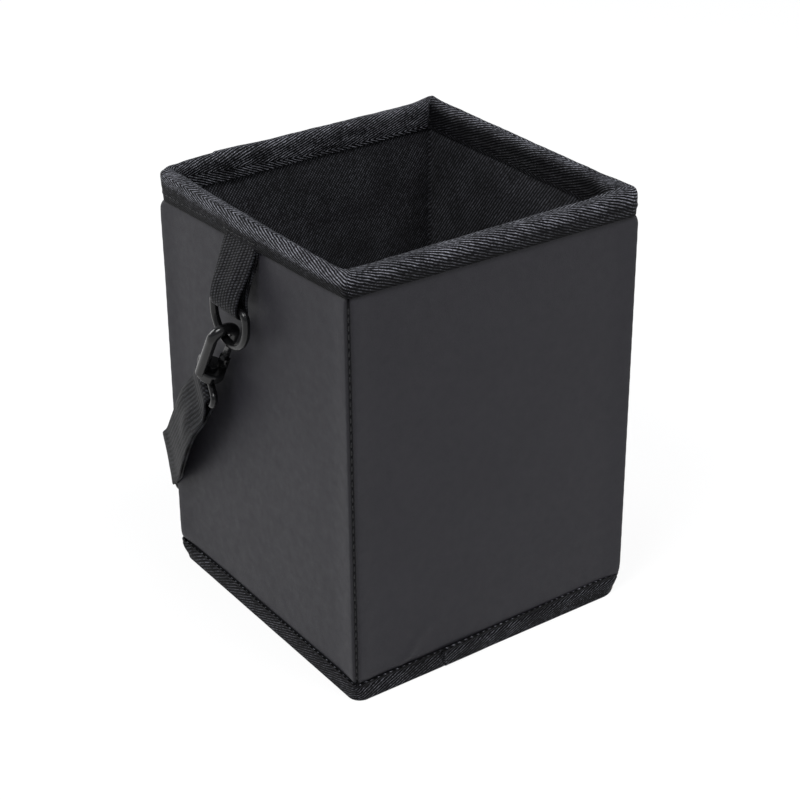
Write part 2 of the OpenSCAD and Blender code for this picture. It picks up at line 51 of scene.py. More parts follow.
def linearise(hexColour):
    out = []
    for i in (1, 3, 5):
        c = int(hexColour[i:i + 2], 16) / 255
        out.append(c / 12.92 if c <= 0.04045 else ((c + 0.055) / 1.055) ** 2.4)
    return (*out, 1)


def ease(t):
    t = min(1, max(0, t))
    return t * t * (3 - 2 * t)


def blendTo(a, b, t):
    return a + (b - a) * t


def rough(x, y, z, size):
    # smooth noise between about -1 and 1, with features of the given size in mm
    return noise.noise(Vector((x / size, y / size, z / size)))


def bell(distance, reach):
    # 1 at the middle, fading to nothing over about twice the reach
    return math.exp(-(distance / reach) ** 2)


def settled(distance, reach):
    # 0 at the start, close to 1 a few reaches away
    return 1 - math.exp(-distance / reach)


class Build:
    # gathers vertices, faces and weave coordinates of one piece
    def __init__(self):
        self.points = []
        self.faces = []
        self.uvs = []
        self.shades = []

    def add(self, p, uv, shade=0.0):
        self.points.append(tuple(p))
        self.uvs.append(uv)
        self.shades.append(shade)
        return len(self.points) - 1

    def strip(self, rows, closeAcross=False, closeAlong=False):
        # rows of vertex indices, joined into quads
        count = len(rows)
        for i in range(count if closeAlong else count - 1):
            a = rows[i]
            b = rows[(i + 1) % count]
            for j in range(len(a) if closeAcross else len(a) - 1):
                k = (j + 1) % len(a)
                self.faces.append((a[j], a[k], b[k], b[j]))

    def cap(self, row, flip=False):
        self.faces.append(tuple(reversed(row)) if flip else tuple(row))

    def make(self, name, smooth=True):
        mesh = bpy.data.meshes.new(name)
        mesh.from_pydata([(x * mm, y * mm, z * mm) for x, y, z in self.points], [], self.faces)
        layer = mesh.uv_layers.new(name="weave")
        for loop in mesh.loops:
            u, v = self.uvs[loop.vertex_index]
            layer.data[loop.index].uv = (u * mm, v * mm)
        # the painted shade of a piece, kept for its colour
        if any(self.shades):
            tucked = mesh.attributes.new("tucked", "FLOAT", "POINT")
            tucked.data.foreach_set("value", self.shades)
        mesh.polygons.foreach_set("use_smooth", [smooth] * len(mesh.polygons))
        mesh.validate()
        mesh.update()
        obj = bpy.data.objects.new(name, mesh)
        bpy.context.collection.objects.link(obj)
        return obj


def finishPiece(obj, material, slot, *nodes, sharp=None):
    # every piece but the strap's stays with the bin
    obj.data.materials.append(material)
    if sharp:
        obj.data.set_sharp_from_angle(angle=math.radians(sharp))
    if nodes:
        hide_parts(*nodes)
    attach(obj, "bin")


def declareSheet(obj, widthMm, lengthMm, held, *restsOn):
    # its flat size comes from the plan of the bin or from its own path, never from the finished mesh
    print("flat size of", obj.name, round(widthMm, 2), round(lengthMm, 2))


def onceRound(half, radius):
    # the length of the line that a tape follows round the bin
    return 8 * (half - radius) + 2 * math.pi * radius


def addNode(tree, kind, inputs=None, **settings):
    # an input is a value, a socket, or a node that stands for its first output
    node = tree.nodes.new("ShaderNode" + kind)
    for key, value in settings.items():
        setattr(node, key, value)
    for key, value in (inputs or {}).items():
        source = value.outputs[0] if isinstance(value, bpy.types.Node) else value
        if isinstance(source, bpy.types.NodeSocket):
            tree.links.new(source, node.inputs[key])
        else:
            node.inputs[key].default_value = source
    return node


def newMaterial(name, specular=0.5, roughness=0.5, sheen=0, sheenTint="#ffffff", coat=0):
    material = bpy.data.materials.new(name)
    material.use_nodes = True
    tree = material.node_tree
    shader = tree.nodes["Principled BSDF"]
    values = {"Specular IOR Level": specular, "Roughness": roughness, "Sheen Weight": sheen,
              "Sheen Tint": linearise(sheenTint), "Coat Weight": coat}
    for key, value in values.items():
        shader.inputs[key].default_value = value
    return material, tree, shader


def layered(tree, base, *layers):
    # a base colour with others laid over it, each by its own share
    tone = linearise(base)
    for share, colour in layers:
        tone = addNode(tree, "Mix", {0: share, 6: tone, 7: linearise(colour)}, data_type="RGBA").outputs[2]
    return tone


def setSurface(tree, shader, tone, height, heightMm, strength=1.0, normal=None):
    # the colour and the relief of a material
    tree.links.new(tone, shader.inputs["Base Color"])
    relief = {"Strength": strength, "Distance": heightMm * mm, "Height": height}
    if normal:
        relief["Normal"] = normal
    tree.links.new(addNode(tree, "Bump", relief).outputs[0], shader.inputs["Normal"])


def shineBetween(tree, shader, cloud, start, end, low, high):
    # patches of different roughness
    shine = addNode(tree, "MapRange", {0: cloud, 1: start, 2: end, 3: low, 4: high})
    tree.links.new(shine.outputs[0], shader.inputs["Roughness"])


leatheretteLook = {
    "colour": "#1e1d22",
    "paler": "#242328",
    "worn": "#18171b",
    "valley": "#131216",
    "crease": "#08080a",
    "grainMm": 0.7,
    "fineMm": 0.35,
    "mottleMm": 5,
    "broadMm": 38,
    "grainHeightMm": 0.022,
    "roughness": 0.52,
}


def makeLeatherette():
    # coated cloth, embossed and left matte: small plates between fine valleys, so light breaks up on it
    look = leatheretteLook
    material, tree, shader = newMaterial("charcoal matte leatherette", specular=0.2, sheen=0.02,
                                         sheenTint="#aab0ba")
    place = addNode(tree, "TexCoord").outputs["Object"]
    cells = addNode(tree, "TexVoronoi", {"Vector": place, "Scale": 1 / (look["grainMm"] * mm)},
                    feature="DISTANCE_TO_EDGE").outputs["Distance"]
    plateau = addNode(tree, "MapRange", {0: cells, 1: 0.0, 2: 0.18}, interpolation_type="SMOOTHSTEP")
    fine = addNode(tree, "TexNoise", {"Vector": place, "Scale": 1 / (look["fineMm"] * mm), "Detail": 2})
    broad = addNode(tree, "TexNoise", {"Vector": place, "Scale": 1 / (look["broadMm"] * mm), "Detail": 3})
    mottle = addNode(tree, "TexNoise", {"Vector": place, "Scale": 1 / (look["mottleMm"] * mm), "Detail": 4,
                                        "Roughness": 0.6})
    worn = addNode(tree, "Math", {0: mottle, 1: 0.35}, operation="MULTIPLY")
    valley = addNode(tree, "Math", {0: plateau, 1: -0.35, 2: 0.35}, operation="MULTIPLY_ADD")
    # painted shade: the colour is darkened towards the shade colour in the seams and along the tapes' edges
    tucked = addNode(tree, "Attribute", attribute_name="tucked").outputs["Fac"]
    tone = layered(tree, look["colour"], (broad, look["paler"]), (worn, look["worn"]),
                   (valley, look["valley"]), (tucked, look["crease"]))
    shineBetween(tree, shader, mottle, 0.25, 0.75, look["roughness"] - 0.05, look["roughness"] + 0.07)
    height = addNode(tree, "Math", {0: fine, 1: 0.6, 2: plateau}, operation="MULTIPLY_ADD")
    setSurface(tree, shader, tone, height, look["grainHeightMm"], 0.7)
    return material


def weavePlace(tree):
    # the two directions of a weave, in metres: the first and the second of the piece's weave coordinates
    uv = addNode(tree, "UVMap", uv_map="weave")
    split = addNode(tree, "SeparateXYZ", {0: uv})
    return split.outputs[0], split.outputs[1]


def wave(tree, place, pitchMm):
    # 0 to 1 along a repeat of the given pitch
    turns = addNode(tree, "Math", {0: place, 1: 2 * math.pi / (pitchMm * mm)}, operation="MULTIPLY")
    sine = addNode(tree, "Math", {0: turns}, operation="SINE")
    return addNode(tree, "Math", {0: sine, 1: 0.5, 2: 0.5}, operation="MULTIPLY_ADD")


def drift(tree, place, sizeMm, reachMm):
    # how far yarns wander to either side, over stretches of the given size
    cloud = addNode(tree, "TexNoise", {"Vector": place, "Scale": 1 / (sizeMm * mm), "Detail": 2})
    return addNode(tree, "Math", {0: cloud, 1: reachMm * mm, 2: -reachMm * mm / 2}, operation="MULTIPLY_ADD")


def uneven(tree, place, sizeMm, detail, roughness, low, high):
    # a strength that wanders between low and high, in patches of the given size: the numbers that the looks
    # give as stray and patchy
    cloud = addNode(tree, "TexNoise", {"Vector": place, "Scale": 1 / (sizeMm * mm), "Detail": detail,
                                       "Roughness": roughness})
    return addNode(tree, "MapRange", {0: cloud, 1: 0.3, 2: 0.7, 3: low, 4: high})


def yarnTone(tree, lit, look):
    # the gaps between yarns are darkest, then comes the dyed yarn, and its lit crown is palest;
    # shares say between which brightnesses the second and the third colour come in
    dyed, crown = (addNode(tree, "MapRange", {0: lit, 1: low, 2: high}) for low, high in look["shares"])
    return layered(tree, look["gap"], (dyed, look["colour"]), (crown, look["yarn"]))


twillLook = {
    "gap": "#050506",
    "colour": "#1b1b1e",
    "yarn": "#85868e",
    "shares": ((0.05, 0.4), (0.35, 0.95)),
    "drift": (3.2, 1.7),
    "stray": (1.3, 3, 0.6, 0.55, 1.35),
    "patchy": (11, 3, 0.5, 0.75, 1.1),
    "ribMm": 3.2,
    "slant": 2.7,
    "turnMm": 12.8,
    "pickMm": 0.7,
    "heightMm": 0.2,
}


def makeTwill():
    # woven tape: ribs at a low slant, one way on its outer half and the other way on its inner half
    look = twillLook
    material, tree, shader = newMaterial("black herringbone twill tape", specular=0.06, roughness=0.6)
    along, across = weavePlace(tree)
    place = addNode(tree, "TexCoord").outputs["Object"]
    fold = addNode(tree, "Math", {0: across, 1: look["turnMm"] * mm}, operation="PINGPONG")
    slanted = addNode(tree, "Math", {0: fold, 1: look["slant"], 2: along}, operation="MULTIPLY_ADD")
    slanted = addNode(tree, "Math", {0: slanted, 1: drift(tree, place, *look["drift"])}, operation="ADD")
    rib = addNode(tree, "Math", {0: wave(tree, slanted, look["ribMm"]), 1: 1.4}, operation="POWER")
    crossing = addNode(tree, "Math", {0: across, 1: -0.4, 2: along}, operation="MULTIPLY_ADD")
    picks = addNode(tree, "Math", {0: wave(tree, crossing, look["pickMm"]), 1: 0.45, 2: 0.55},
                    operation="MULTIPLY_ADD")
    height = addNode(tree, "Math", {0: rib, 1: picks}, operation="MULTIPLY")
    lit = addNode(tree, "Math", {0: height, 1: uneven(tree, place, *look["stray"])}, operation="MULTIPLY")
    lit = addNode(tree, "Math", {0: lit, 1: uneven(tree, place, *look["patchy"])}, operation="MULTIPLY",
                  use_clamp=True)
    # painted shade: the flat bands are darkened by the painted shade attribute, and the roll is left pale as
    # if lit from above
    tucked = addNode(tree, "Attribute", attribute_name="tucked").outputs["Fac"]
    unshadedShare = addNode(tree, "Math", {0: tucked, 1: -0.6, 2: 1.0}, operation="MULTIPLY_ADD")
    lit = addNode(tree, "Math", {0: lit, 1: unshadedShare}, operation="MULTIPLY")
    setSurface(tree, shader, yarnTone(tree, lit, look), height, look["heightMm"], 0.9)
    return material


liningLook = {
    "gap": "#060607",
    "colour": "#1c1c1f",
    "yarn": "#515258",
    "shares": ((0.0, 0.3), (0.3, 1.0)),
    "drift": (4, 0.9),
    "stray": (1.6, 3, 0.6, 0.4, 1.3),
    "patchy": (17, 4, 0.6, 0.65, 1.1),
    "pitchMm": 1.7,
    "heightMm": 0.1,
}


def makeLining():
    # an open weave: two sets of slanting yarns, with a bright dot where one lies over the other
    look = liningLook
    material, tree, shader = newMaterial("black woven polyester lining", specular=0.1, roughness=0.65,
                                         sheen=0.03)
    along, across = weavePlace(tree)
    place = addNode(tree, "TexCoord").outputs["Object"]
    one = addNode(tree, "Math", {0: across, 1: 0.75, 2: along}, operation="MULTIPLY_ADD")
    one = addNode(tree, "Math", {0: one, 1: drift(tree, place, *look["drift"])}, operation="ADD")
    two = addNode(tree, "Math", {0: across, 1: -1.1, 2: along}, operation="MULTIPLY_ADD")
    weft = addNode(tree, "Math", {0: wave(tree, two, look["pitchMm"] * 0.8), 1: 0.55, 2: 0.45},
                   operation="MULTIPLY_ADD")
    height = addNode(tree, "Math", {0: wave(tree, one, look["pitchMm"]), 1: weft}, operation="MULTIPLY")
    lit = addNode(tree, "Math", {0: height, 1: uneven(tree, place, *look["stray"])}, operation="MULTIPLY")
    lit = addNode(tree, "Math", {0: lit, 1: uneven(tree, place, *look["patchy"])}, operation="MULTIPLY",
                  use_clamp=True)
    setSurface(tree, shader, yarnTone(tree, lit, look), height, look["heightMm"])
    return material


webbingLook = {
    "gap": "#020203",
    "colour": "#0b0b0d",
    "yarn": "#313236",
    "shares": ((0.1, 0.4), (0.4, 1.0)),
    "drift": (3, 0.7),
    "stray": (1.2, 3, 0.6, 0.5, 1.3),
    "ribMm": 2.1,
    "pickMm": 1.25,
    "heightMm": 0.2,
}


def makeWebbing():
    # plain woven nylon: lengthwise ribs crossed by fine slanting picks
    look = webbingLook
    material, tree, shader = newMaterial("black nylon webbing", specular=0.05, roughness=0.5)
    across, along = weavePlace(tree)
    place = addNode(tree, "TexCoord").outputs["Object"]
    strayed = addNode(tree, "Math", {0: across, 1: drift(tree, place, *look["drift"])}, operation="ADD")
    strayed = addNode(tree, "Math", {0: along, 1: 0.1, 2: strayed}, operation="MULTIPLY_ADD")
    warp = addNode(tree, "Math", {0: wave(tree, strayed, look["ribMm"]), 1: 0.65, 2: 0.35},
                   operation="MULTIPLY_ADD")
    crossing = addNode(tree, "Math", {0: across, 1: 0.45, 2: along}, operation="MULTIPLY_ADD")
    pick = addNode(tree, "Math", {0: wave(tree, crossing, look["pickMm"]), 1: 0.6, 2: 0.4},
                   operation="MULTIPLY_ADD")
    height = addNode(tree, "Math", {0: warp, 1: pick}, operation="MULTIPLY")
    lit = addNode(tree, "Math", {0: height, 1: uneven(tree, place, *look["stray"])}, operation="MULTIPLY",
                  use_clamp=True)
    setSurface(tree, shader, yarnTone(tree, lit, look), height, look["heightMm"])
    return material


threadLook = {
    "colour": "#070708",
    "lit": "#18181b",
    "twistMm": 0.42,
    "slant": 0.6,
    "heightMm": 0.05,
}


def makeThread():
    # twisted thread: a fine slanting stripe, a little glossier than the cloth
    look = threadLook
    material, tree, shader = newMaterial("black polyester thread", specular=0.25, roughness=0.5, sheen=0.05)
    across, along = weavePlace(tree)
    slanted = addNode(tree, "Math", {0: across, 1: look["slant"], 2: along}, operation="MULTIPLY_ADD")
    twist = wave(tree, slanted, look["twistMm"])
    setSurface(tree, shader, layered(tree, look["colour"], (twist, look["lit"])), twist, look["heightMm"])
    return material


hardwareLook = {
    "colour": "#060607",
    "scuffed": "#0d0d0e",
    "roughness": 0.17,
    "edgeMm": 0.45,
    "scuffMm": 6,
    "fineMm": 0.8,
    "fineHeightMm": 0.012,
}
sliderLook = hardwareLook | {"colour": "#0c0c0d", "roughness": 0.3, "edgeMm": 0.3}


def makeMoulded(name, look):
    # injection moulded and smooth: clear highlights with soft edges, dulled in patches by scuffs
    material, tree, shader = newMaterial(name, specular=0.25, roughness=look["roughness"], coat=0.1)
    shader.inputs["Coat Roughness"].default_value = 0.12
    place = addNode(tree, "TexCoord").outputs["Object"]
    scuff = addNode(tree, "TexNoise", {"Vector": place, "Scale": 1 / (look["scuffMm"] * mm), "Detail": 5,
                                       "Roughness": 0.65})
    shineBetween(tree, shader, scuff, 0.35, 0.75, look["roughness"] - 0.05, look["roughness"] + 0.16)
    soft = addNode(tree, "Bevel", {"Radius": look["edgeMm"] * mm}, samples=6)
    fine = addNode(tree, "TexNoise", {"Vector": place, "Scale": 1 / (look["fineMm"] * mm), "Detail": 3})
    tone = layered(tree, look["colour"], (scuff, look["scuffed"]))
    setSurface(tree, shader, tone, fine, look["fineHeightMm"], 0.6, soft)
    return material


boardLook = {
    "colour": "#8b857b",
    "paler": "#a49d92",
    "fibreMm": 2.5,
    "heightMm": 0.08,
}


def makeBoard():
    # pressed wood fibre: dull grey with short fibres
    look = boardLook
    material, tree, shader = newMaterial("grey chipboard", specular=0.25, roughness=0.85)
    place = addNode(tree, "TexCoord").outputs["Object"]
    fibre = addNode(tree, "TexNoise", {"Vector": place, "Scale": 1 / (look["fibreMm"] * mm), "Detail": 5,
                                       "Roughness": 0.7})
    tone = layered(tree, look["colour"], (fibre, look["paler"]))
    setSurface(tree, shader, tone, fibre, look["heightMm"], 0.8)
    return material


leatherette = makeLeatherette()
twill = makeTwill()
lining = makeLining()
webbing = makeWebbing()
thread = makeThread()
hardware = makeMoulded("black satin moulded hardware", hardwareLook)
sliderPlastic = makeMoulded("black satin slider plastic", sliderLook)
board = makeBoard()
print("materials made")


# sizes in mm that several pieces share, from the part's source
plan = {
    "coverHalf": 74.4,
    "rimHalf": 71.9,
    "liningHalf": 69.4,
    "foldZ": 196.8,
    "rimLow": 190.5,
    "rimLowInside": 188.5,
    "baseTop": 8.5,
    "rimPathR": 3,
    "tapeThick": 0.7,
}


def sideSamples(step, cornerSteps):
    # one side from corner diagonal to corner diagonal: ("arc", angle) or ("flat", -1 to 1)
    out = [("arc", -45 + 45 * i / cornerSteps) for i in range(cornerSteps)]
    flats = max(2, round(130 / step))
    out += [("flat", -1 + 2 * i / flats) for i in range(flats + 1)]
    out += [("arc", 45 * (i + 1) / cornerSteps) for i in range(cornerSteps)]
    return out


def planPoint(side, sample, half, radius):
    # a point of a rounded square and its outward normal; side 0 is the front, then right, back, left
    kind, value = sample
    if kind == "flat":
        x = value * (half - radius)
        y = -half
        nx, ny = 0.0, -1.0
    else:
        edge = 1 if value > 0 else -1
        turn = math.radians(abs(value))
        nx = edge * math.sin(turn)
        ny = -math.cos(turn)
        x = edge * (half - radius) + radius * nx
        y = -(half - radius) + radius * ny
    c, s = ((1, 0), (0, 1), (-1, 0), (0, -1))[side]
    return Vector((x * c - y * s, x * s + y * c, 0)), Vector((nx * c - ny * s, nx * s + ny * c, 0))


def fromCorner(sample, half, radius):
    # distance along the plan from the nearest corner diagonal
    kind, value = sample
    if kind == "flat":
        return radius * math.pi / 4 + (1 - abs(value)) * (half - radius)
    return radius * math.radians(45 - abs(value))


def tapeLow(side, p):
    # height of the rim tape's lower edge outside: it hangs lowest at the left back corner
    if side == 3:
        return 192.3 - 6.8 * (p.y + 75) / 150
    if side == 0:
        return 192.3 - 1.7 * (p.x + 75) / 150
    if side == 1:
        return 190.6
    return 190.6 - 5.1 * ease((20 - p.x) / 95)


coverLook = {
    "thickMm": 1.0,
    "swellMm": 0.3,
    "swellReachMm": 9,
    "shoulderMm": 1.25,
    "shoulderReachMm": 8,
    "wavesMm": 0.14,
    "heldReachMm": 1.7,
    "creaseMm": 1.5,
    "creaseReachMm": 0.62,
    "puckerMm": 0.05,
    "puckerPitchMm": 7.4,
    "foldMm": 0.9,
    "foldAt": (-52, 9),
    "cornerR": 1.6,
    "baseCornerR": 7,
    "rimCornerR": 4.4,
    "leftBackMm": 1.3,
}


def cornerRadiusAt(z, p):
    # the upright corners turn rounder under the base tape, and at two of them under the rim tape
    right = p.x > 0 and p.y < 0
    radius = blendTo(coverLook["baseCornerR"] + 1.5 * right, coverLook["cornerR"], ease(z / (9 + 5 * right)))
    if p.x * p.y < 0:
        radius = blendTo(radius, coverLook["rimCornerR"], ease((z - tapeLow(3 if p.x < 0 else 0, p) + 5) / 6))
    return radius


def coverSwell(side, p, gap, z):
    # how far the cover stands out of its flat, from the panel's padding and the pull of the corner seam
    look = coverLook
    base = plan["baseTop"]
    low = tapeLow(side, p)
    free = settled(gap, look["swellReachMm"])
    held = settled(max(0, z - base), look["heldReachMm"]) * settled(max(0, low - z), look["heldReachMm"])
    swell = look["shoulderMm"] * bell(gap, look["shoulderReachMm"])
    swell += look["swellMm"] * free
    if p.x < 0 < p.y:
        swell += look["leftBackMm"] * bell(gap, 26) * max(0, 1 - z / 150)
    waves = rough(p.x, p.y, z, 34) + 0.5 * rough(p.x + 90, p.y, z, 15)
    swell += look["wavesMm"] * waves * free
    pucker = math.sin(2 * math.pi * z / look["puckerPitchMm"] + side)
    swell += look["puckerMm"] * math.exp(-gap / 6) * pucker * ease((z - 10) / 10)
    # a small slanting fold that the base tape pulls into the front cover
    if side == 0:
        foldX, foldZ = look["foldAt"]
        swell += look["foldMm"] * bell(p.x - foldX - (z - foldZ) * 0.9, 2.4) * bell(z - 13, 9)
    groove = 0.45 * bell(z - base - 0.6, 0.7) + 0.3 * bell(low - z - 0.4, 0.6)
    return swell * held - groove - look["creaseMm"] * bell(gap, look["creaseReachMm"]) * ease((z - 8) / 2)


def coverShade(side, p, gap, z):
    # painted shade: how deep in a crease or against a tape the cover is, for darkening its colour there
    near = bell(max(0, z - plan["baseTop"] - 0.4), 0.9) + bell(max(0, tapeLow(side, p) - z), 0.8)
    return min(1, 0.85 * near + 0.9 * bell(gap, 0.75))


def sampleOrder(sample):
    # the arc at the left corner comes first, then the flat, then the arc at the right corner
    kind, value = sample
    return 1 if kind == "flat" else 2 if value > 0 else 0, value


def coverPiece(side, name):
    samples = sideSamples(2.4, 12)
    # closer samples beside the corners, where the crease is
    near = [("flat", s * (1 - f)) for f in (0.004, 0.01, 0.018, 0.028, 0.04, 0.055, 0.075) for s in (-1, 1)]
    samples = sorted(set(samples + near), key=sampleOrder)
    # levels lie closer where the tapes press on the cover
    levels = [0.75, 2.5, 5, 7.5, 8.5, 9, 9.6, 10.4, 11.5, 13, 15, 17.5]
    levels += [20 + 2.35 * i for i in range(67)]
    levels += [177.4 + 0.9 * i for i in range(18)] + [194, 196.5]
    build = Build()
    inner = []
    outer = []
    run = 0
    last = None
    for sample in samples:
        mid, _ = planPoint(side, sample, plan["coverHalf"], coverLook["cornerR"])
        run += (mid - last).length if last else 0
        last = mid
        rowOut = []
        rowIn = []
        for z in levels:
            radius = cornerRadiusAt(z, mid)
            p, n = planPoint(side, sample, plan["coverHalf"], radius)
            gap = fromCorner(sample, plan["coverHalf"], radius)
            q = p + n * coverSwell(side, p, gap, z)
            rowOut.append(build.add((q.x, q.y, z), (run, z), coverShade(side, p, gap, z)))
            q = p - n * (coverLook["thickMm"] + 0.6 * bell(gap, 1.5))
            rowIn.append(build.add((q.x, q.y, z), (run, z)))
        outer.append(rowOut)
        inner.append(rowIn)
    build.strip(outer)
    build.strip([list(reversed(r)) for r in inner])
    build.strip([outer[0], inner[0]])
    build.strip([inner[-1], outer[-1]])
    build.strip([[o[0] for o in outer], [i[0] for i in inner]])
    build.strip([[i[-1] for i in inner], [o[-1] for o in outer]])
    obj = build.make(name)
    finishPiece(obj, leatherette, "leatherette", name.replace("_panel", ""))
    declareSheet(obj, 2 * plan["coverHalf"], levels[-1] - levels[0], "stretched",
                 name.replace("cover_panel", "board"))


sideWords = ("front", "right", "back", "left")
for i, word in enumerate(sideWords):
    coverPiece(i, f"{word}_cover_panel")
print("covers made")


liningShape = {
    "wavesMm": 0.45,
    "cornerR": 1.6,
    "low": 4.8,
    "high": 197,
    "thickMm": 0.75,
}


def liningPiece(side, name):
    look = liningShape
    samples = sideSamples(3.2, 3)
    levels = [look["low"] + (look["high"] - look["low"]) * i / 56 for i in range(57)]
    build = Build()
    shown = []
    hidden = []
    run = 0
    last = None
    for sample in samples:
        mid, _ = planPoint(side, sample, plan["liningHalf"], look["cornerR"])
        run += (mid - last).length if last else 0
        last = mid
        rowShown = []
        rowHidden = []
        for z in levels:
            p, n = planPoint(side, sample, plan["liningHalf"], look["cornerR"])
            gap = fromCorner(sample, plan["liningHalf"], look["cornerR"])
            loose = ease(gap / 18) * ease((190 - z) / 20) * ease((z - look["low"]) / 12)
            waves = 0.6 + rough(p.x, p.y + 300, z, 46) + 0.4 * rough(p.x, p.y + 300, z, 19)
            q = p - n * (look["wavesMm"] * waves * loose)
            rowShown.append(build.add((q.x, q.y, z), (run, z)))
            q = p + n * look["thickMm"]
            rowHidden.append(build.add((q.x, q.y, z), (run, z)))
        shown.append(rowShown)
        hidden.append(rowHidden)
    build.strip([list(reversed(r)) for r in shown])
    build.strip(hidden)
    build.strip([hidden[0], shown[0]])
    build.strip([shown[-1], hidden[-1]])
    build.strip([[i[0] for i in shown], [o[0] for o in hidden]][::-1])
    build.strip([[i[-1] for i in shown], [o[-1] for o in hidden]])
    obj = build.make(name)
    finishPiece(obj, lining, "woven_lining", name.replace("_panel", ""))
    declareSheet(obj, 2 * plan["liningHalf"], levels[-1] - levels[0], "stretched",
                 name.replace("lining_panel", "board"))


for i, word in enumerate(sideWords):
    liningPiece(i, f"{word}_lining_panel")


def flatPanel(name, size, nearZ, farZ, lift, material, slot, node):
    # a level panel: its shown face stands at nearZ with soft waves, its hidden one lies at farZ
    build = Build()
    count = 46
    up = 1 if nearZ > farZ else -1
    shown = []
    hidden = []
    for i in range(count + 1):
        y = -size + 2 * size * i / count
        rowShown = []
        rowHidden = []
        for j in range(count + 1):
            x = -size + 2 * size * j / count
            edge = ease((size - max(abs(x), abs(y))) / 9)
            z = nearZ + up * edge * (0.35 + 0.3 * rough(x, y, 500, 40)) * lift
            rowShown.append(build.add((x, y, z), (x, y)))
            rowHidden.append(build.add((x, y, farZ), (x, y)))
        shown.append(rowShown)
        hidden.append(rowHidden)
    top, low = (shown, hidden) if up > 0 else (hidden, shown)
    build.strip(top)
    build.strip([list(reversed(r)) for r in low])
    build.strip([low[0], top[0]])
    build.strip([top[-1], low[-1]])
    build.strip([[r[0] for r in top], [r[0] for r in low]])
    build.strip([[r[-1] for r in low], [r[-1] for r in top]])
    obj = build.make(name)
    finishPiece(obj, material, slot, node)
    declareSheet(obj, 2 * size, 2 * size, "laid", "base_board")


flatPanel("base_lining_panel", 69.2, 4.5, 3.95, 1.0, lining, "woven_lining", "base_lining")
flatPanel("base_cover_panel", 65.9, 0.45, 0.7, 0.5, leatherette, "leatherette", "base_cover")
print("linings made")


tapeLook = {
    "rimCornerR": {(-1, -1): -0.6, (1, -1): 2.4, (1, 1): 0.6, (-1, 1): 4.2},
    "outMm": 3.85,
    "inMm": 3.4,
    "topMm": 4.1,
    "stepMm": 0.75,
    "stitchRowMm": 3.6,
    "stitchPitchMm": 3.4,
    "stitchSinkMm": 0.42,
    "overlapAt": -47.6,
    "overlapMm": 26,
    "tabMiddle": 2.7,
    "tabHalf": 14.2,
    "tabFade": 2.6,
    "tabTop": 197.5,
    "tabRaiseMm": 0.8,
    "leanFrom": 186,
}


coverNames = [f"{word}_cover_panel" for word in ("front", "back", "left", "right")]


def loopSamples(step, cornerSteps):
    # once round the bin: (side, sample)
    return [(side, sample) for side in range(4) for sample in sideSamples(step, cornerSteps)[:-1]]


def overlapStep(x, at, length):
    # the tape's upper layer starts sharply at a place and settles where the lower layer ends under it
    if x < at:
        return 0.0
    return 1 - ease((x - at - length * 0.5) / (length * 0.5))


def cornerOf(p):
    return (1 if p.x > 0 else -1, 1 if p.y > 0 else -1)


def rimRadius(p):
    return tapeLook["rimCornerR"][cornerOf(p)]


def leaned(lean, z):
    # the rim leans only above a height
    return lean * ease((z - tapeLook["leanFrom"]) / 10)


def tabRaise(side, sample, p, z):
    # the rim tape is lifted where the ends of a ring tab run up under it
    if side not in (1, 3) or sample[0] != "flat":
        return 0
    look = tapeLook
    beside = ease((look["tabHalf"] - abs(p.y - look["tabMiddle"])) / look["tabFade"])
    return look["tabRaiseMm"] * beside * ease((look["tabTop"] - z) / 3)


def rimLean(side, p):
    # the rim isn't quite even: outward lean, more thickness inwards, and lift of its top, on each side
    frontShare = {0: 1, 1: ease((-p.y - 45) / 25), 2: 0, 3: ease((-p.y - 62) / 10)}[side]
    leftShare = {3: 1 - ease((-p.y - 62) / 10), 0: 0, 1: 0, 2: ease((-p.x - 50) / 20)}[side]
    middle = 1 - ease((abs(p.y) - 35) / 38)
    lean = leftShare * (0.3 + 0.45 * middle)
    inward = frontShare * 2.3
    rightShare = {0: ease((p.x - 50) / 20), 1: 1, 2: ease((p.x - 55) / 15), 3: 0}[side]
    lift = 0.9 * frontShare - 0.7 * leftShare * middle + 0.9 * rightShare
    lean += 0.5 * rightShare * (side == 1) * ease((p.y + 66) / 20)
    return lean, inward, lift, leftShare


def rimPoint(along, low, lowIn, inward, narrow):
    # a point of the rim tape's outer face, from 0 at its outer edge to 3 at its inner one:
    # offset from the wall's middle and height
    look = tapeLook
    if along <= 1:
        return look["outMm"] - 0.35 * (1 - along), blendTo(low, plan["foldZ"], along)
    if along < 2:
        a = math.pi * (along - 1)
        c = math.cos(a)
        wide = look["outMm"] if c > 0 else look["inMm"] + inward
        x = wide * math.copysign(abs(c) ** blendTo(0.85, 1.15, narrow), c)
        return x, plan["foldZ"] + look["topMm"] * math.sin(a) ** 0.9
    t = along - 2
    return blendTo(-look["inMm"] - inward, -look["inMm"], ease(t)), blendTo(plan["foldZ"], lowIn, t)


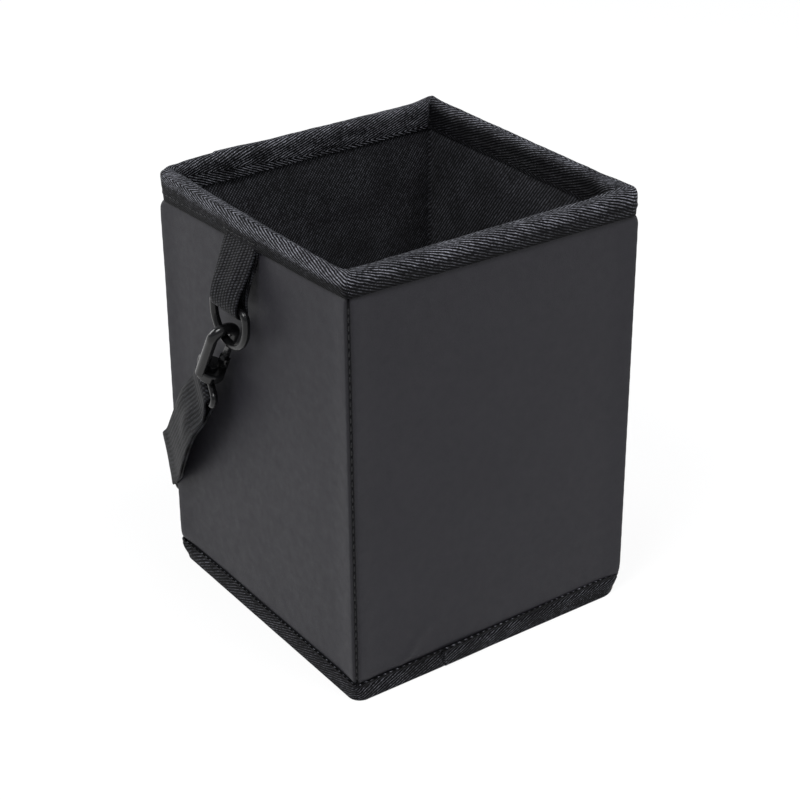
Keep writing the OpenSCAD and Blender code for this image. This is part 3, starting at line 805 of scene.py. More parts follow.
def rimTape():
    look = tapeLook
    # outer band, roll and inner band
    steps = [i / 10 for i in range(10)] + [1 + i / 18 for i in range(18)] + [2 + i / 12 for i in range(13)]
    build = Build()
    rows = []
    run = 0
    last = None
    middle = plan["rimHalf"]
    foldZ = plan["foldZ"]
    shrink = 1 - plan["tapeThick"] / look["outMm"]
    for side, sample in loopSamples(1.5, 7):
        ref, _ = planPoint(side, sample, middle, plan["rimPathR"])
        run += (ref - last).length if last else 0
        last = ref
        gap = fromCorner(sample, middle, plan["rimPathR"])
        # both edges of the tape run a little unevenly
        low = tapeLow(side, ref) + 0.28 * rough(run, 60, 7, 11) + 0.12 * rough(run, 61, 7, 2.2)
        lowIn = plan["rimLowInside"] + 0.28 * rough(run, 120, 7, 13)
        lean, inward, lift, narrow = rimLean(side, ref)
        cornerR = rimRadius(ref)
        raised = 0
        if side == 2 and sample[0] == "flat":
            raised = overlapStep(ref.x, look["overlapAt"], look["overlapMm"]) * look["stepMm"] * 0.7
        # the folded corners peak or sink
        peak = 0.9 * bell(gap, 5) * (ref.x > 0 and ref.y > 0)
        peak += 0.3 * bell(gap, 4) * (ref.x < 0 and ref.y < 0)
        peak -= 1.5 * bell(gap, 8) * (ref.x < 0 and ref.y > 0)
        stitch = 0.45 + 0.55 * math.cos(2 * math.pi * run / look["stitchPitchMm"])
        outer = []
        innerRow = []
        # painted shade for the tape's colour: the outer band darker, most on the left side, the inner band by
        # side, the lower edge more, and the roll left pale
        flat = 0.85 if side == 3 else 0.7
        insideShade = (0.5, 0.9, 0.35, 0.5)[side]
        v = 0
        before = None
        for along in steps:
            off, z = rimPoint(along, low, lowIn, inward, narrow)
            v += math.dist(before, (off, z)) if before else 0
            before = (off, z)
            onRoll = 1 < along < 2
            tab = tabRaise(side, sample, ref, z) if along <= 1 else 0
            fat = 0.2 * rough(run * 0.9, v * 3, 40, 8) + 0.09 * rough(run, v * 5, 90, 2.6)
            fat += tab
            if along <= 1 or along >= 2:
                rowZ = (low if along <= 1 else lowIn + 0.4) + look["stitchRowMm"]
                fat -= look["stitchSinkMm"] * bell(z - rowZ, 0.6) * (0.45 + 0.55 * stitch)
            fat += raised
            grow = 1 + fat / look["outMm"]
            rise = foldZ + (z - foldZ) * grow if onRoll else z
            top = ease((z - 192) / 8)
            rise += (lift + peak * math.sin(math.pi * min(1, max(0, along - 1)))) * top
            reach = off * grow if onRoll else off + math.copysign(fat, off)
            tilt = leaned(lean, z)
            p, _ = planPoint(side, sample, middle + reach + tilt, max(cornerR + reach, 0.7))
            paintedShade = blendTo(flat, 0, ease((along - 0.8 + 0.15 * narrow) * 2.8))
            paintedShade += insideShade * ease((along - 1.5) * 1.6)
            paintedShade += 0.6 * bell(z - low - 0.2, 0.9) * (along < 1)
            outer.append(build.add((p.x, p.y, rise), (run, v), min(1, paintedShade)))
            under = off * shrink if onRoll else off - math.copysign(plan["tapeThick"], off)
            underZ = (foldZ + (z - foldZ) * shrink if onRoll else z) + lift * top
            p, _ = planPoint(side, sample, middle + under + tab + tilt, max(cornerR + under, 0.5))
            innerRow.append(build.add((p.x, p.y, underZ), (run, v)))
        rows.append(outer + list(reversed(innerRow)))
    build.strip([list(reversed(r)) for r in rows], closeAcross=True, closeAlong=True)
    obj = build.make("rim_twill_tape")
    finishPiece(obj, twill, "twill_tape", "rim_tape", sharp=50)
    across = [rimPoint(along, plan["rimLow"], plan["rimLowInside"], 0, 0) for along in steps]
    width = sum(math.dist(a, b) for a, b in zip(across, across[1:]))
    declareSheet(obj, width, onceRound(middle, plan["rimPathR"]), "folded", *coverNames)


baseLook = {
    "half": 75.35,
    "pathR": 6,
    "low": 0.55,
    "topR": {(-1, -1): 2.6, (1, -1): 4.6, (1, 1): 2.6, (-1, 1): 3.0},
    "floorR": {(-1, -1): 5.4, (1, -1): 12, (1, 1): 9, (-1, 1): 9},
    "topMm": 8.9,
    "bandMm": 8.4,
    "underMm": 8.2,
    "endAt": -28.1,
    "endMm": 26,
}


def endStep(x, at, length, height):
    # the cut end of the tape's upper layer: a dark gap, a rounded edge, then a slow settling
    if x < at:
        return -0.3 * bell(x - at + 0.35, 0.25)
    return height * (1 + 0.35 * bell(x - at - 0.7, 0.6)) * overlapStep(x, at, length)


def baseSection():
    # the tape's section: out of the wall's face, height, and place across the tape. It runs down the wall,
    # round the edge and in under the base
    look = baseLook
    edge = look["low"]
    band = look["bandMm"]
    out = [(0.0, blendTo(look["topMm"], edge, i / 11), (band - edge) * i / 11) for i in range(12)]
    for i in range(1, 6):
        a = math.pi / 2 * i / 5
        out.append((-edge + edge * math.cos(a), edge - edge * math.sin(a), 7.9 + edge * a))
    under = look["underMm"]
    out += [(-edge - under * i / 8, 0.0, 8.8 + under * i / 8) for i in range(1, 9)]
    return out


def baseSamples():
    # samples round the bin, closer together where the tape's cut end shows on the front
    half, pathR, endAt = (baseLook[key] for key in ("half", "pathR", "endAt"))
    out = loopSamples(1.6, 9)
    front = [q for q in out if q[0] == 0 and q[1][0] == "flat"]
    first = out.index(front[0])
    count = len(front)
    for _, sample in list(front):
        if abs(planPoint(0, sample, half, pathR)[0].x - endAt) < 0.85:
            for x in (-0.7, -0.45, -0.3, -0.15, -0.02, 0.1, 0.3, 0.6, 1.0):
                front.append((0, ("flat", (endAt + x) / (half - pathR))))
    out[first:first + count] = sorted(front, key=lambda q: q[1][1])
    return out


def baseTape():
    look = baseLook
    half = look["half"]
    thick = plan["tapeThick"]
    edge = look["low"]
    section = baseSection()
    build = Build()
    rows = []
    run = 0
    last = None
    for side, sample in baseSamples():
        ref, _ = planPoint(side, sample, half, look["pathR"])
        run += (ref - last).length if last else 0
        last = ref
        topR = look["topR"][cornerOf(ref)]
        floorR = look["floorR"][cornerOf(ref)]
        gap = fromCorner(sample, half, look["pathR"])
        corner = bell(gap, 9)
        raised = 0
        if side == 0 and sample[0] == "flat":
            raised = endStep(ref.x, look["endAt"], look["endMm"], tapeLook["stepMm"])
        leftBack = 1.1 * bell(gap, 22) * (ref.x < 0 and ref.y > 0)
        # the tape stands a little higher towards the right end of the front
        high = 1.6 * ease((ref.x + 40) / 110) if side == 0 else 0.9 * (side == 1)
        fold = 0.8 * bell(ref.x + 68, 2.2) if side == 0 else 0
        outer = []
        innerRow = []
        for off, z, v in section:
            share = z / look["topMm"]
            fat = 0.16 * rough(run * 0.9, v * 3, 240, 9) + 0.08 * rough(run, v * 5, 290, 2.6)
            fat -= 0.5 * bell(share - 0.86, 0.05) if z > 1.4 else 0
            fat = (fat + raised + fold * share) if z > 0.1 else 0
            rise = z
            if z > edge:
                rise += (0.3 * rough(run, 200, 7, 14) + high * share - 0.5 * corner + fold) * share
            # it leans out a little towards the floor, where its corners are rounder
            away = leftBack * ease(share * 1.5) + (0.5 * (1 - share) if off == 0.0 else 0)
            radius = blendTo(floorR, topR, ease(share))
            reach = off + fat * ease(z / 1.5) + away
            p, _ = planPoint(side, sample, half + reach, max(radius + reach, 1))
            # painted shade for the tape's colour: darkened all over, most at its top edge
            paintedShade = 0.62 + 0.38 * ease((share - 0.8) / 0.2)
            outer.append(build.add((p.x, p.y, max(0, rise)), (run, v), paintedShade))
            inset = (off - thick * min(1, z / edge) if z > 0.02 else off) + away
            lift = rise if z >= edge else rise + thick * (1 - z / edge)
            p, _ = planPoint(side, sample, half + inset, max(radius + inset, 0.8))
            innerRow.append(build.add((p.x, p.y, lift), (run, v)))
        rows.append(outer + list(reversed(innerRow)))
    build.strip(rows, closeAcross=True, closeAlong=True)
    obj = build.make("base_twill_tape")
    finishPiece(obj, twill, "twill_tape", "base_tape", sharp=50)
    declareSheet(obj, section[-1][2], onceRound(half, look["pathR"]), "folded", *coverNames)


rimTape()
baseTape()
print("tapes made")


stitchLook = {
    "cornerMm": 2.5,
    "cornerPitchMm": 3.7,
    "cornerThreadR": 0.36,
    "rowMm": 2.4,
    "rowPitchMm": 3.4,
    "rowThreadR": 0.24,
    "cornerLiftMm": 0.35,
    "rowLiftMm": 0.24,
    "diveMm": 0.35,
}


def tubeAlong(build, path, radius, sides):
    # a closed tube through the path's points, with rounded ends
    rows = []
    run = 0
    count = len(path)
    side = None
    for i, p in enumerate(path):
        run += (p - path[i - 1]).length if i else 0
        tangent = (path[min(count - 1, i + 1)] - path[max(0, i - 1)]).normalized()
        if side is None:
            guide = Vector((0, 0, 1)) if abs(tangent.z) < 0.9 else Vector((1, 0, 0))
            side = tangent.cross(guide).normalized()
        side = (side - tangent * side.dot(tangent)).normalized()
        other = tangent.cross(side)
        r = radius * (0.55 if i in (0, count - 1) else 1)
        row = []
        for j in range(sides):
            a = 2 * math.pi * j / sides
            place = p + side * (r * math.cos(a)) + other * (r * math.sin(a))
            row.append(build.add(place, (radius * a, run)))
        rows.append(row)
    build.strip([list(reversed(r)) for r in rows], closeAcross=True)
    build.cap(rows[0])
    build.cap(rows[-1], flip=True)


def stitchArc(build, a, b, outward, height, radius, sides=6):
    # one stitch that dives into the cloth at both ends
    path = []
    for i in range(7):
        t = i / 6
        lift = height * math.sin(math.pi * t) ** 0.55 if 0 < t < 1 else -stitchLook["diveMm"]
        path.append(a.lerp(b, t) + outward * lift)
    tubeAlong(build, path, radius, sides)


def cornerStitching(side, name):
    # the seam between this side and the next one
    look = stitchLook
    build = Build()
    z = 11.2
    corner, _ = planPoint(side, ("arc", 45), plan["coverHalf"], coverLook["cornerR"])
    top = min(tapeLow(side, corner), 190) - 0.8
    while z + look["cornerMm"] < top:
        ends = []
        for h in (z, z + look["cornerMm"]):
            p, n = planPoint(side, ("arc", 45), plan["coverHalf"], cornerRadiusAt(h, corner))
            ends.append(p + n * (coverSwell(side, p, 0, h) + 0.12) + Vector((0, 0, h)))
        stitchArc(build, ends[0], ends[1], n, look["cornerLiftMm"], look["cornerThreadR"])
        z += look["cornerPitchMm"]
    obj = build.make(name)
    finishPiece(obj, thread, "thread", name.replace("_thread", "_stitching"))


for i, word in enumerate(("front_right", "back_right", "back_left", "front_left")):
    cornerStitching(i, f"{word}_thread")


def rowStitching(name, surface):
    # a row of stitches round the bin; surface gives a place and its outward direction for a side and a sample
    look = stitchLook
    pitch, length = look["rowPitchMm"], look["rowMm"]
    build = Build()
    points = [surface(side, sample) for side, sample in loopSamples(0.85, 4)]
    points.append(points[0])
    run = 0
    start = None
    for i in range(1, len(points)):
        step = (points[i][0] - points[i - 1][0]).length
        phase = run % pitch
        if start is None and phase < pitch - length and phase + step > 0.2:
            start = (points[i - 1], run)
        if start and run + step - start[1] >= length:
            a, b = start[0], points[i]
            if (b[0] - a[0]).length < length * 1.6:
                outward = (a[1] + b[1]).normalized()
                stitchArc(build, a[0], b[0], outward, look["rowLiftMm"], look["rowThreadR"], 5)
            start = None
        run += step
    obj = build.make(name)
    finishPiece(obj, thread, "thread")


def outsideRow(side, sample):
    look = tapeLook
    ref, _ = planPoint(side, sample, plan["rimHalf"], plan["rimPathR"])
    z = tapeLow(side, ref) + look["stitchRowMm"]
    reach = look["outMm"] - look["stitchSinkMm"] + leaned(rimLean(side, ref)[0], z)
    reach += tabRaise(side, sample, ref, z)
    p, n = planPoint(side, sample, plan["rimHalf"] + reach, rimRadius(ref) + look["outMm"])
    return p + Vector((0, 0, z)), n


def insideRow(side, sample):
    look = tapeLook
    ref, _ = planPoint(side, sample, plan["rimHalf"], plan["rimPathR"])
    z = plan["rimLowInside"] + look["stitchRowMm"] + 0.4
    lean, inward = rimLean(side, ref)[:2]
    share = ease((plan["foldZ"] - z) / (plan["foldZ"] - plan["rimLowInside"]))
    reach = -look["inMm"] - inward * (1 - share) + 0.3 + leaned(lean, z)
    p, n = planPoint(side, sample, plan["rimHalf"] + reach, 0.7)
    return p + Vector((0, 0, z)), -n


rowStitching("rim_outside_stitching", outsideRow)
rowStitching("rim_inside_stitching", insideRow)
print("stitches made")


def ribbonSection(width, thick):
    # points round a ribbon's section, with rounded edges: across, out of the face, and place across the weave
    h = width / 2
    r = thick / 2
    out = []
    for i in range(13):
        x = -h + r + (width - 2 * r) * i / 12
        out.append((x, r, x))
    for a in (60, 20, -20, -60):
        out.append((h - r + r * math.cos(math.radians(a)), r * math.sin(math.radians(a)), h))
    for i in range(13):
        x = h - r - (width - 2 * r) * i / 12
        out.append((x, -r, x))
    for a in (240, 200, 160, 120):
        out.append((-h + r + r * math.cos(math.radians(a)), r * math.sin(math.radians(a)), -h))
    return out


def ribbon(build, stops, thick):
    # stops are (middle, along, across, half width, bow of the middle); the face normal is along x across
    rows = []
    run = 0.0
    last = None
    for middle, along, across, half, bow in stops:
        run += (middle - last).length if last else 0
        last = middle
        out = along.cross(across).normalized()
        row = []
        for x, y, w in ribbonSection(half * 2, thick):
            u = x / half
            sag = bow * (1 - u * u + 0.4 * math.sin(6 * u))
            grain = 0.05 * rough(run, w, 800, 2.5) * (1 if y > 0 else -1)
            p = middle + across * x + out * (y + sag + grain)
            row.append(build.add(p, (w, run)))
        rows.append(row)
    build.strip(rows, closeAcross=True)
    build.cap(rows[0], flip=True)
    build.cap(rows[-1])
    return run


def between(a, b, c, d, t):
    # a smooth curve from b to c that knows its neighbours a and d
    return 0.5 * (2 * b + (c - a) * t + (2 * a - 5 * b + 4 * c - d) * t * t
                  + (3 * b - a - 3 * c + d) * t ** 3)


def smoothPath(points, per):
    out = []
    last = len(points) - 1
    for i in range(last):
        near = [points[min(last, max(0, i + k))] for k in (-1, 0, 1, 2)]
        out += [between(*near, j / per) for j in range(per)]
    return out + [points[-1]]


tabLook = {
    "middleY": 2.7,
    "rimWidth": 24.4,
    "ringWidth": 21.0,
    "barX": 83.2,
    "barZ": 162.8,
    "turnR": 2.6,
    "thick": 1.25,
    "declaredMm": 22.8,  # between the two widths it lies at, not the width it was woven at
}


def tabPiece(sign, name, node):
    # up under the rim tape at the front, round the ring's bar and up again behind
    look = tabLook
    bx, bz, r = look["barX"], look["barZ"], look["turnR"]
    front = [(-75.6, 196.5), (-75.65, 193), (-76.1, 189.6), (-77.9, 185), (-81, 177.6), (-84.3, 170.6),
             (-85.8, 165.4)]
    turn = [(-bx - r * math.cos(a), bz - r * math.sin(a)) for a in map(math.radians, range(0, 181, 22))]
    back = [(-80.7, 164.6), (-80.5, 168), (-79.5, 172.4), (-78, 177.2), (-76.3, 182.8), (-75.35, 187.6),
            (-75.2, 192), (-75.2, 196.3)]
    flat = smoothPath([Vector((x, 0, z)) for x, z in front + turn + back], 5)
    build = Build()
    stops = []
    for i, p in enumerate(flat):
        along = (flat[min(len(flat) - 1, i + 1)] - flat[max(0, i - 1)]).normalized()
        pinch = ease((188 - p.z) / 22)
        half = blendTo(look["rimWidth"], look["ringWidth"], pinch) / 2
        across = Vector((0, -1, 0))
        bow = 0.5 * math.sin(math.pi * min(1, max(0, (190 - p.z) / 26)))
        if i > len(flat) * 0.55:
            bow = -bow * 0.3
        point = Vector((p.x, look["middleY"], p.z))
        stops.append((point, along, across, half, bow))
    length = ribbon(build, stops, look["thick"])
    if sign > 0:
        build.points = [(-x, y, z) for x, y, z in build.points]
        build.faces = [tuple(reversed(f)) for f in build.faces]
    obj = build.make(name)
    finishPiece(obj, webbing, "webbing", node, sharp=60)
    declareSheet(obj, look["declaredMm"], length, "folded", "rim_twill_tape", node.replace("tab", "ring"))


tabPiece(-1, "left_ring_tab", "left_tab")
tabPiece(1, "right_ring_tab", "right_tab")
print("tabs made")


strapLook = {
    "width": 25.0,
    "gathered": 20.4,
    "thick": 1.25,
    "edgeMm": 0.15,
    "layer": 1.3,
    "endReach": 12,
    "barDrop": 35.8,
    "barLead": 10,
    "leanLeft": 30,
    "leanRight": 38,
    "turn": 16,
    "ring": (-83.2, 2.7, 157.3, 13.05),
    "wrap": 2.37,
    "sideX": 84.2,
    "backY": 83.6,
    "low": 45.0,
    "rightLow": 77,
    "rippleMm": 0.25,
    "archMm": 1.1,
    "loopR": 2.02,
    "cuts": (9, 24, 40, 62),
    "rightLayerMm": 30,
    # widths as the pieces lie, gathered where they go round a bar; the webbing itself is 25 mm wide
    "declaredMm": {"end": 20.5, "loop": 23.8, "hung": 24.5, "band": 24.7},
}


def tilt(v, degrees):
    # turned about the X axis
    a = math.radians(degrees)
    return Vector((v[0], v[1] * math.cos(a) - v[2] * math.sin(a), v[1] * math.sin(a) + v[2] * math.cos(a)))


def mirrored(v):
    return Vector((-v[0], v[1], v[2]))


def belowHook(lean, drop):
    # a place on the left hook's line, this far below the ring's bow
    x, y, z, r = strapLook["ring"]
    a = math.radians(lean)
    return Vector((x, y + r * math.sin(a), z - r * math.cos(a))) + tilt((0, 0, -drop), lean)


def barAxis(lean):
    a = math.radians(strapLook["turn"])
    return tilt((math.sin(a), math.cos(a), 0), lean)


def strapStations():
    # (place, direction across the strap), from the left swivel's bar round the back to the right one's
    look = strapLook
    left, right = look["leanLeft"], look["leanRight"]
    drop = look["barDrop"]
    sideX, backY, low, rightLow = (look[key] for key in ("sideX", "backY", "low", "rightLow"))
    turnIn = 6.4
    dip = low + 2
    slider = Vector((12.5 - plan["coverHalf"], backY + 0.7, low))
    way = Vector((1, 0.02, -0.08)).normalized()
    edge = (-0.05, -0.38, -0.92)
    leftCorner = Vector((-sideX + 7.5, backY - turnIn, low + 7.9))
    rightCorner = Vector((sideX - turnIn, backY - turnIn * 0.75, rightLow))

    def beside(bar, corner, back, down, out):
        return Vector((math.copysign(sideX + out, corner.x), bar.y + back * (corner.y - bar.y),
                       bar.z + down * (corner.z - bar.z)))

    def behind(share, height):
        return Vector(((share - 0.5) * 2 * plan["coverHalf"], backY, height))

    barLeft = belowHook(left, drop)
    barRight = mirrored(belowHook(right, drop))
    return [
        (barLeft, -barAxis(left)),
        (belowHook(left, drop + look["barLead"]), -barAxis(left)),
        (beside(barLeft, leftCorner, 0.338, 0.36, -0.7), (-0.28, -0.79, -0.53)),
        (beside(barLeft, leftCorner, 0.6, 0.66, -2.3), (-0.24, -0.74, -0.62)),
        (beside(barLeft, leftCorner, 0.81, 0.87, -5.0), (-0.14, -0.58, -0.8)),
        (leftCorner, (-0.05, -0.36, -0.93)),
        (slider - 7.8 * way + Vector((0.1, -0.6, 0.9)), edge),
        (slider, edge),
        (slider + 6.5 * way, edge),
        (slider + 13 * way, edge),
        (slider + 37 * way, edge),
        (behind(0.5, dip), (0.15, 0, -0.99)),
        (behind(0.742, dip * 0.66 + rightLow * 0.34), (0.2, 0, -0.98)),
        (behind(0.944, dip * 0.32 + rightLow * 0.68), (0.25, 0, -0.97)),
        (rightCorner, (0.12, -0.4, -0.9)),
        (beside(barRight, rightCorner, 0.703, 0.749, 0.2), (0.1, -0.62, -0.78)),
        (beside(barRight, rightCorner, 0.398, 0.45, 0), (0.22, -0.7, -0.66)),
        (mirrored(belowHook(right, drop + look["barLead"])), -mirrored(barAxis(right))),
        (barRight, -mirrored(barAxis(right))),
    ]


stations = [(Vector(p), Vector(w)) for p, w in strapStations()]
spans = len(stations) - 1
sliderSpan = 7  # the station that lies at the slider


def strapPoint(s):
    i = min(spans - 1, int(s))
    t = s - i
    b = stations[i][0]
    c = stations[i + 1][0]
    a = stations[i - 1][0] if i else 2 * b - c
    d = stations[i + 2][0] if i < spans - 1 else 2 * c - b
    return between(a, b, c, d, t)


def strapFrame(s):
    # along the strap, across it, and out of its face
    along = (strapPoint(min(spans, s + 0.02)) - strapPoint(max(0, s - 0.02))).normalized()
    i = min(spans - 1, int(s))
    w = stations[i][1] * (1 - s + i) + stations[i + 1][1] * (s - i)
    across = (w - along * w.dot(along)).normalized()
    return along, across, along.cross(across)


def strapTable(steps):
    # the curve by distance: (distance, place on the stations)
    out = [(0.0, 0.0)]
    last = strapPoint(0)
    for k in range(1, spans * steps + 1):
        s = k / steps
        p = strapPoint(s)
        out.append((out[-1][0] + (p - last).length, s))
        last = p
    return out


tableSteps = 40
table = strapTable(tableSteps)
strapTotal = table[-1][0]
sliderRun = table[sliderSpan * tableSteps][0]


def placeAt(d):
    # the place on the stations at a distance along the strap
    lo, hi = 0, len(table) - 1
    while hi - lo > 1:
        mid = (lo + hi) // 2
        if table[mid][0] <= d:
            lo = mid
        else:
            hi = mid
    a, b = table[lo], table[hi]
    t = 0 if b[0] == a[0] else (d - a[0]) / (b[0] - a[0])
    return a[1] + (b[1] - a[1]) * min(1, max(0, t))


def endPinch(d):
    reach = strapLook["endReach"]
    return min(ease(d / reach), ease((strapTotal - d) / reach))


def layerStops(d0, d1, lift, step=1.4):
    # stops of one layer of the strap between two distances; lift(d) is its middle's place along the normal
    count = max(2, round((d1 - d0) / step))
    out = []
    for k in range(count + 1):
        d = d0 + (d1 - d0) * k / count
        s = placeAt(d)
        along, across, normal = strapFrame(s)
        half = blendTo(strapLook["gathered"], strapLook["width"], endPinch(d)) / 2 - strapLook["edgeMm"]
        middle = strapPoint(s) + normal * lift(d)
        ends = min(d, strapTotal - d)
        # it ripples a little, and arches across where it widens from its gathered end
        ripple = strapLook["rippleMm"] * rough(d, 3, 9, 16) + strapLook["archMm"] * bell(ends - 24, 14)
        out.append((middle, along, across, half, ripple * min(1, ends / 20)))
    return out


def innerLift(d):
    return blendTo(-strapLook["wrap"], 0, endPinch(d))


def outerLift(d):
    return blendTo(strapLook["wrap"], strapLook["layer"], endPinch(d))


def wrapStops(d, sign):
    # half turn round a swivel's bar, from the inner layer to the outer one
    s = placeAt(d)
    along, across, normal = strapFrame(s)
    centre = strapPoint(s)
    out = []
    for i in range(11):
        a = math.pi * i / 10
        direction = -normal * math.cos(a) + along * (sign * math.sin(a))
        tangent = (normal * math.sin(a) + along * (sign * math.cos(a)))
        half = strapLook["gathered"] / 2 - strapLook["edgeMm"]
        out.append((centre + direction * strapLook["wrap"], tangent, across, half, 0))
    return out


def strapPart(name, chains, width, held, *restsOn):
    build = Build()
    length = sum(ribbon(build, stops, strapLook["thick"]) for stops in chains)
    obj = build.make(name)
    obj.data.materials.append(webbing)
    obj.data.set_sharp_from_angle(angle=math.radians(60))
    declareSheet(obj, strapLook["declaredMm"][width], length, held, *restsOn)
    return obj


def turnedBack(stops):
    # the same stops walked the other way, with the same face outwards
    return [(middle, -along, across, half, -bow) for middle, along, across, half, bow in reversed(stops)]


def leftEnd(cut):
    # up the inner layer, round the bar and down the outer layer
    inner = layerStops(0, cut, innerLift, 1.0)
    return turnedBack(inner) + wrapStops(0, -1)[1:-1] + layerStops(0, cut, outerLift, 1.0)


def rightEnd(cut):
    start = strapTotal - cut
    inner = layerStops(start, strapTotal, innerLift, 1.0)
    return inner + wrapStops(strapTotal, 1)[1:-1] + turnedBack(layerStops(start, strapTotal, outerLift, 1.0))


def sliderLoop():
    # the outer layer's end: under the slider's first bar, then up round it and back
    s = placeAt(sliderRun)
    along, across, normal = strapFrame(s)
    centre = strapPoint(s) - along * 9 + normal * 2.55
    out = layerStops(sliderRun - 13.4, sliderRun - 12, outerLift, 0.7)
    for i in range(12):
        a = math.radians(-62 + 225 * (i / 11))
        direction = along * math.cos(a) + normal * math.sin(a)
        tangent = normal * math.cos(a) - along * math.sin(a)
        half = strapLook["width"] / 2 - 0.6
        out.append((centre + direction * strapLook["loopR"], tangent, across, half, 0))
    return out


def blendPart(name, a, b, d0, d1, outerFrom=None):
    # a stretch of both layers that lies between two bodies; its outer layer may start later, at outerFrom
    chains = [layerStops(d0, d1, innerLift)]
    start = d0 if outerFrom is None else outerFrom
    if start < d1:
        chains.append(layerStops(start, d1, outerLift))
    obj = strapPart(name, chains, "hung", "hung", a, b)
    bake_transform(obj)


wrapEnd, topEnd, upperEnd, lowerEnd = strapLook["cuts"]
far = [strapTotal - cut for cut in strapLook["cuts"]]
for name, chain, width, body in (
    ("left_strap_end", leftEnd(wrapEnd), "end", "left_swivel"),
    ("right_strap_end", rightEnd(wrapEnd), "end", "right_swivel"),
    ("slider_strap_loop", sliderLoop(), "loop", "slider"),
):
    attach(strapPart(name, [chain], width, "folded", body), body)
blendPart("left_strap_top", "left_swivel", "left_hook", wrapEnd, topEnd)
blendPart("left_strap_upper", "left_hook", "left_ring", topEnd, upperEnd)
blendPart("left_strap_lower", "left_ring", "bin", upperEnd, lowerEnd)
bandLayers = [layerStops(lowerEnd, far[3], innerLift), layerStops(lowerEnd, sliderRun - 13.6, outerLift)]
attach(strapPart("strap_band", bandLayers, "band", "hung", "left_strap_end", "right_strap_end"), "bin")
outerStart = strapTotal - strapLook["rightLayerMm"]
blendPart("right_strap_lower", "bin", "right_ring", far[3], far[2], outerStart)
blendPart("right_strap_upper", "right_ring", "right_hook", far[2], far[1], outerStart)
blendPart("right_strap_top", "right_hook", "right_swivel", far[1], far[0])
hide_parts("strap")
print(f"strap made, {strapTotal:.1f} mm, slider at {sliderRun:.1f} mm")


# the rings, hooks, gates, swivels, slider and boards keep the shapes of their solids
hardwareParts = ("ring", "hook", "gate", "swivel")
dressed = {f"{side}_{part}": hardware for side in ("left", "right") for part in hardwareParts}
dressed |= {"slider": sliderPlastic, "base_board": board}
dressed |= {f"{word}_board": board for word in sideWords}
for node, material in dressed.items():
    obj = bpy.data.objects[node]
    obj.data.materials.clear()
    obj.data.materials.append(material)
print("moulded pieces dressed")


stageLook = {
    "floor": "#f4f4f4",
    "floorGlow": 0.86,
    "floorHalfMm": 6000,
    "sky": "#eef1f5",
    "skyStrength": 0.55,
}


def makeFloor():
    # white paper: it shows white to the camera and in reflections, and keeps the bin's shadow
    material, tree, shader = newMaterial("white paper floor", specular=0.0, roughness=1.0)
    shader.inputs["Base Color"].default_value = linearise(stageLook["floor"])
    light = addNode(tree, "LightPath").outputs
    glow = addNode(tree, "Emission", {"Color": (1, 1, 1, 1), "Strength": 1.0})
    seen = addNode(tree, "Math", {0: light["Is Camera Ray"], 1: light["Is Transmission Ray"]},
                   operation="MAXIMUM")
    seen = addNode(tree, "Math", {0: seen, 1: light["Is Glossy Ray"]}, operation="MAXIMUM")
    share = addNode(tree, "Math", {0: seen, 1: stageLook["floorGlow"]}, operation="MULTIPLY")
    mix = addNode(tree, "MixShader", {0: share, 1: shader, 2: glow})
    tree.links.new(mix.outputs[0], tree.nodes["Material Output"].inputs[0])
    build = Build()
    half = stageLook["floorHalfMm"]
    corners = ((-half, -half, 0), (half, -half, 0), (half, half, 0), (-half, half, 0))
    build.cap([build.add(corner, (0, 0)) for corner in corners])
    obj = build.make("floor", smooth=False)
    obj.data.materials.append(material)


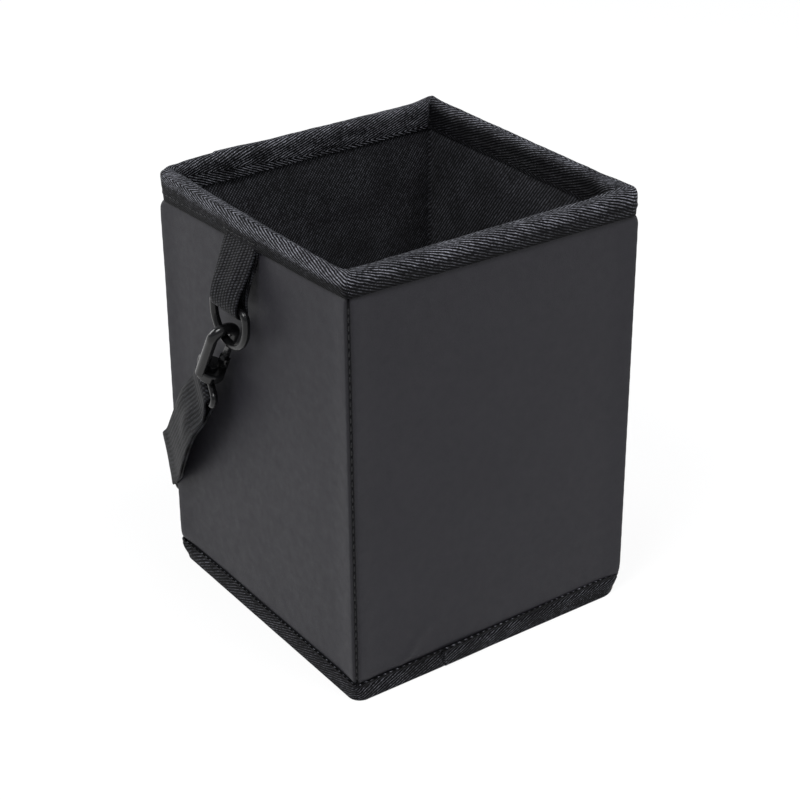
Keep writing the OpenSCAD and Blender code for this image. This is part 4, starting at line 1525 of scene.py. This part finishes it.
def makeWorld():
    # the camera sees plain white, the bin is lit by a slightly cool sky
    world = bpy.data.worlds.new("studio")
    bpy.context.scene.world = world
    world.use_nodes = True
    tree = world.node_tree
    lighting = tree.nodes["Background"]
    lighting.inputs[0].default_value = linearise(stageLook["sky"])
    lighting.inputs[1].default_value = stageLook["skyStrength"]
    plain = addNode(tree, "Background", {0: (1, 1, 1, 1), 1: 1.0})
    light = addNode(tree, "LightPath").outputs
    seen = addNode(tree, "Math", {0: light["Is Camera Ray"], 1: light["Is Transmission Ray"]},
                   operation="MAXIMUM")
    mix = addNode(tree, "MixShader", {0: seen, 1: lighting, 2: plain})
    tree.links.new(mix.outputs[0], tree.nodes["World Output"].inputs[0])


makeFloor()
makeWorld()


def areaLamp(name, place, target, size, watts, colour="#ffffff"):
    data = bpy.data.lights.new(name, "AREA")
    data.shape = "DISK"
    data.size = size
    data.energy = watts
    data.color = linearise(colour)[:3]
    lamp = bpy.data.objects.new(name, data)
    lamp.location = place
    lamp.rotation_euler = (Vector(target) - Vector(place)).to_track_quat("-Z", "Y").to_euler()
    bpy.context.collection.objects.link(lamp)


areaLamp("key lamp", (-1.2, -0.4, 1.75), (0, 0, 0.1), 0.9, 28)
areaLamp("back lamp", (-0.7, 1.6, 0.7), (-0.05, 0, 0.1), 0.9, 12)
areaLamp("top lamp", (0.3, -0.8, 1.9), (0, 0, 0.1), 0.9, 21)
areaLamp("fill lamp", (1.2, -1.5, 0.9), (0, 0, 0.1), 1.2, 6)


# the photograph's camera, fitted to the bin's edges: angles in degrees, place in mm, focal length in pixels
shot = {
    "azimuth": -35.04,
    "elevation": 28.07,
    "roll": -0.57,
    "place": (-445.9, -638.5, 507.8),
    "focalPx": 1931.25,
    "framePx": 800,
    "sensorMm": 36,
}


def makeCamera():
    az, el, roll = (math.radians(shot[k]) for k in ("azimuth", "elevation", "roll"))
    back = Vector((math.sin(az) * math.cos(el), -math.cos(az) * math.cos(el), math.sin(el)))
    right = Vector((0, 0, 1)).cross(back).normalized()
    up = back.cross(right)
    right, up = right * math.cos(roll) + up * math.sin(roll), up * math.cos(roll) - right * math.sin(roll)
    data = bpy.data.cameras.new("camera")
    data.sensor_fit = "HORIZONTAL"
    data.sensor_width = shot["sensorMm"]
    data.lens = shot["focalPx"] / shot["framePx"] * shot["sensorMm"]
    data.clip_start = 0.01
    camera = bpy.data.objects.new("camera", data)
    turn = Matrix((right, up, back)).transposed().to_4x4()
    camera.matrix_world = Matrix.Translation(Vector(shot["place"]) * mm) @ turn
    bpy.context.collection.objects.link(camera)
    bpy.context.scene.camera = camera


makeCamera()
bpy.context.scene.view_settings.view_transform = "Standard"

print("floor, light and camera made")
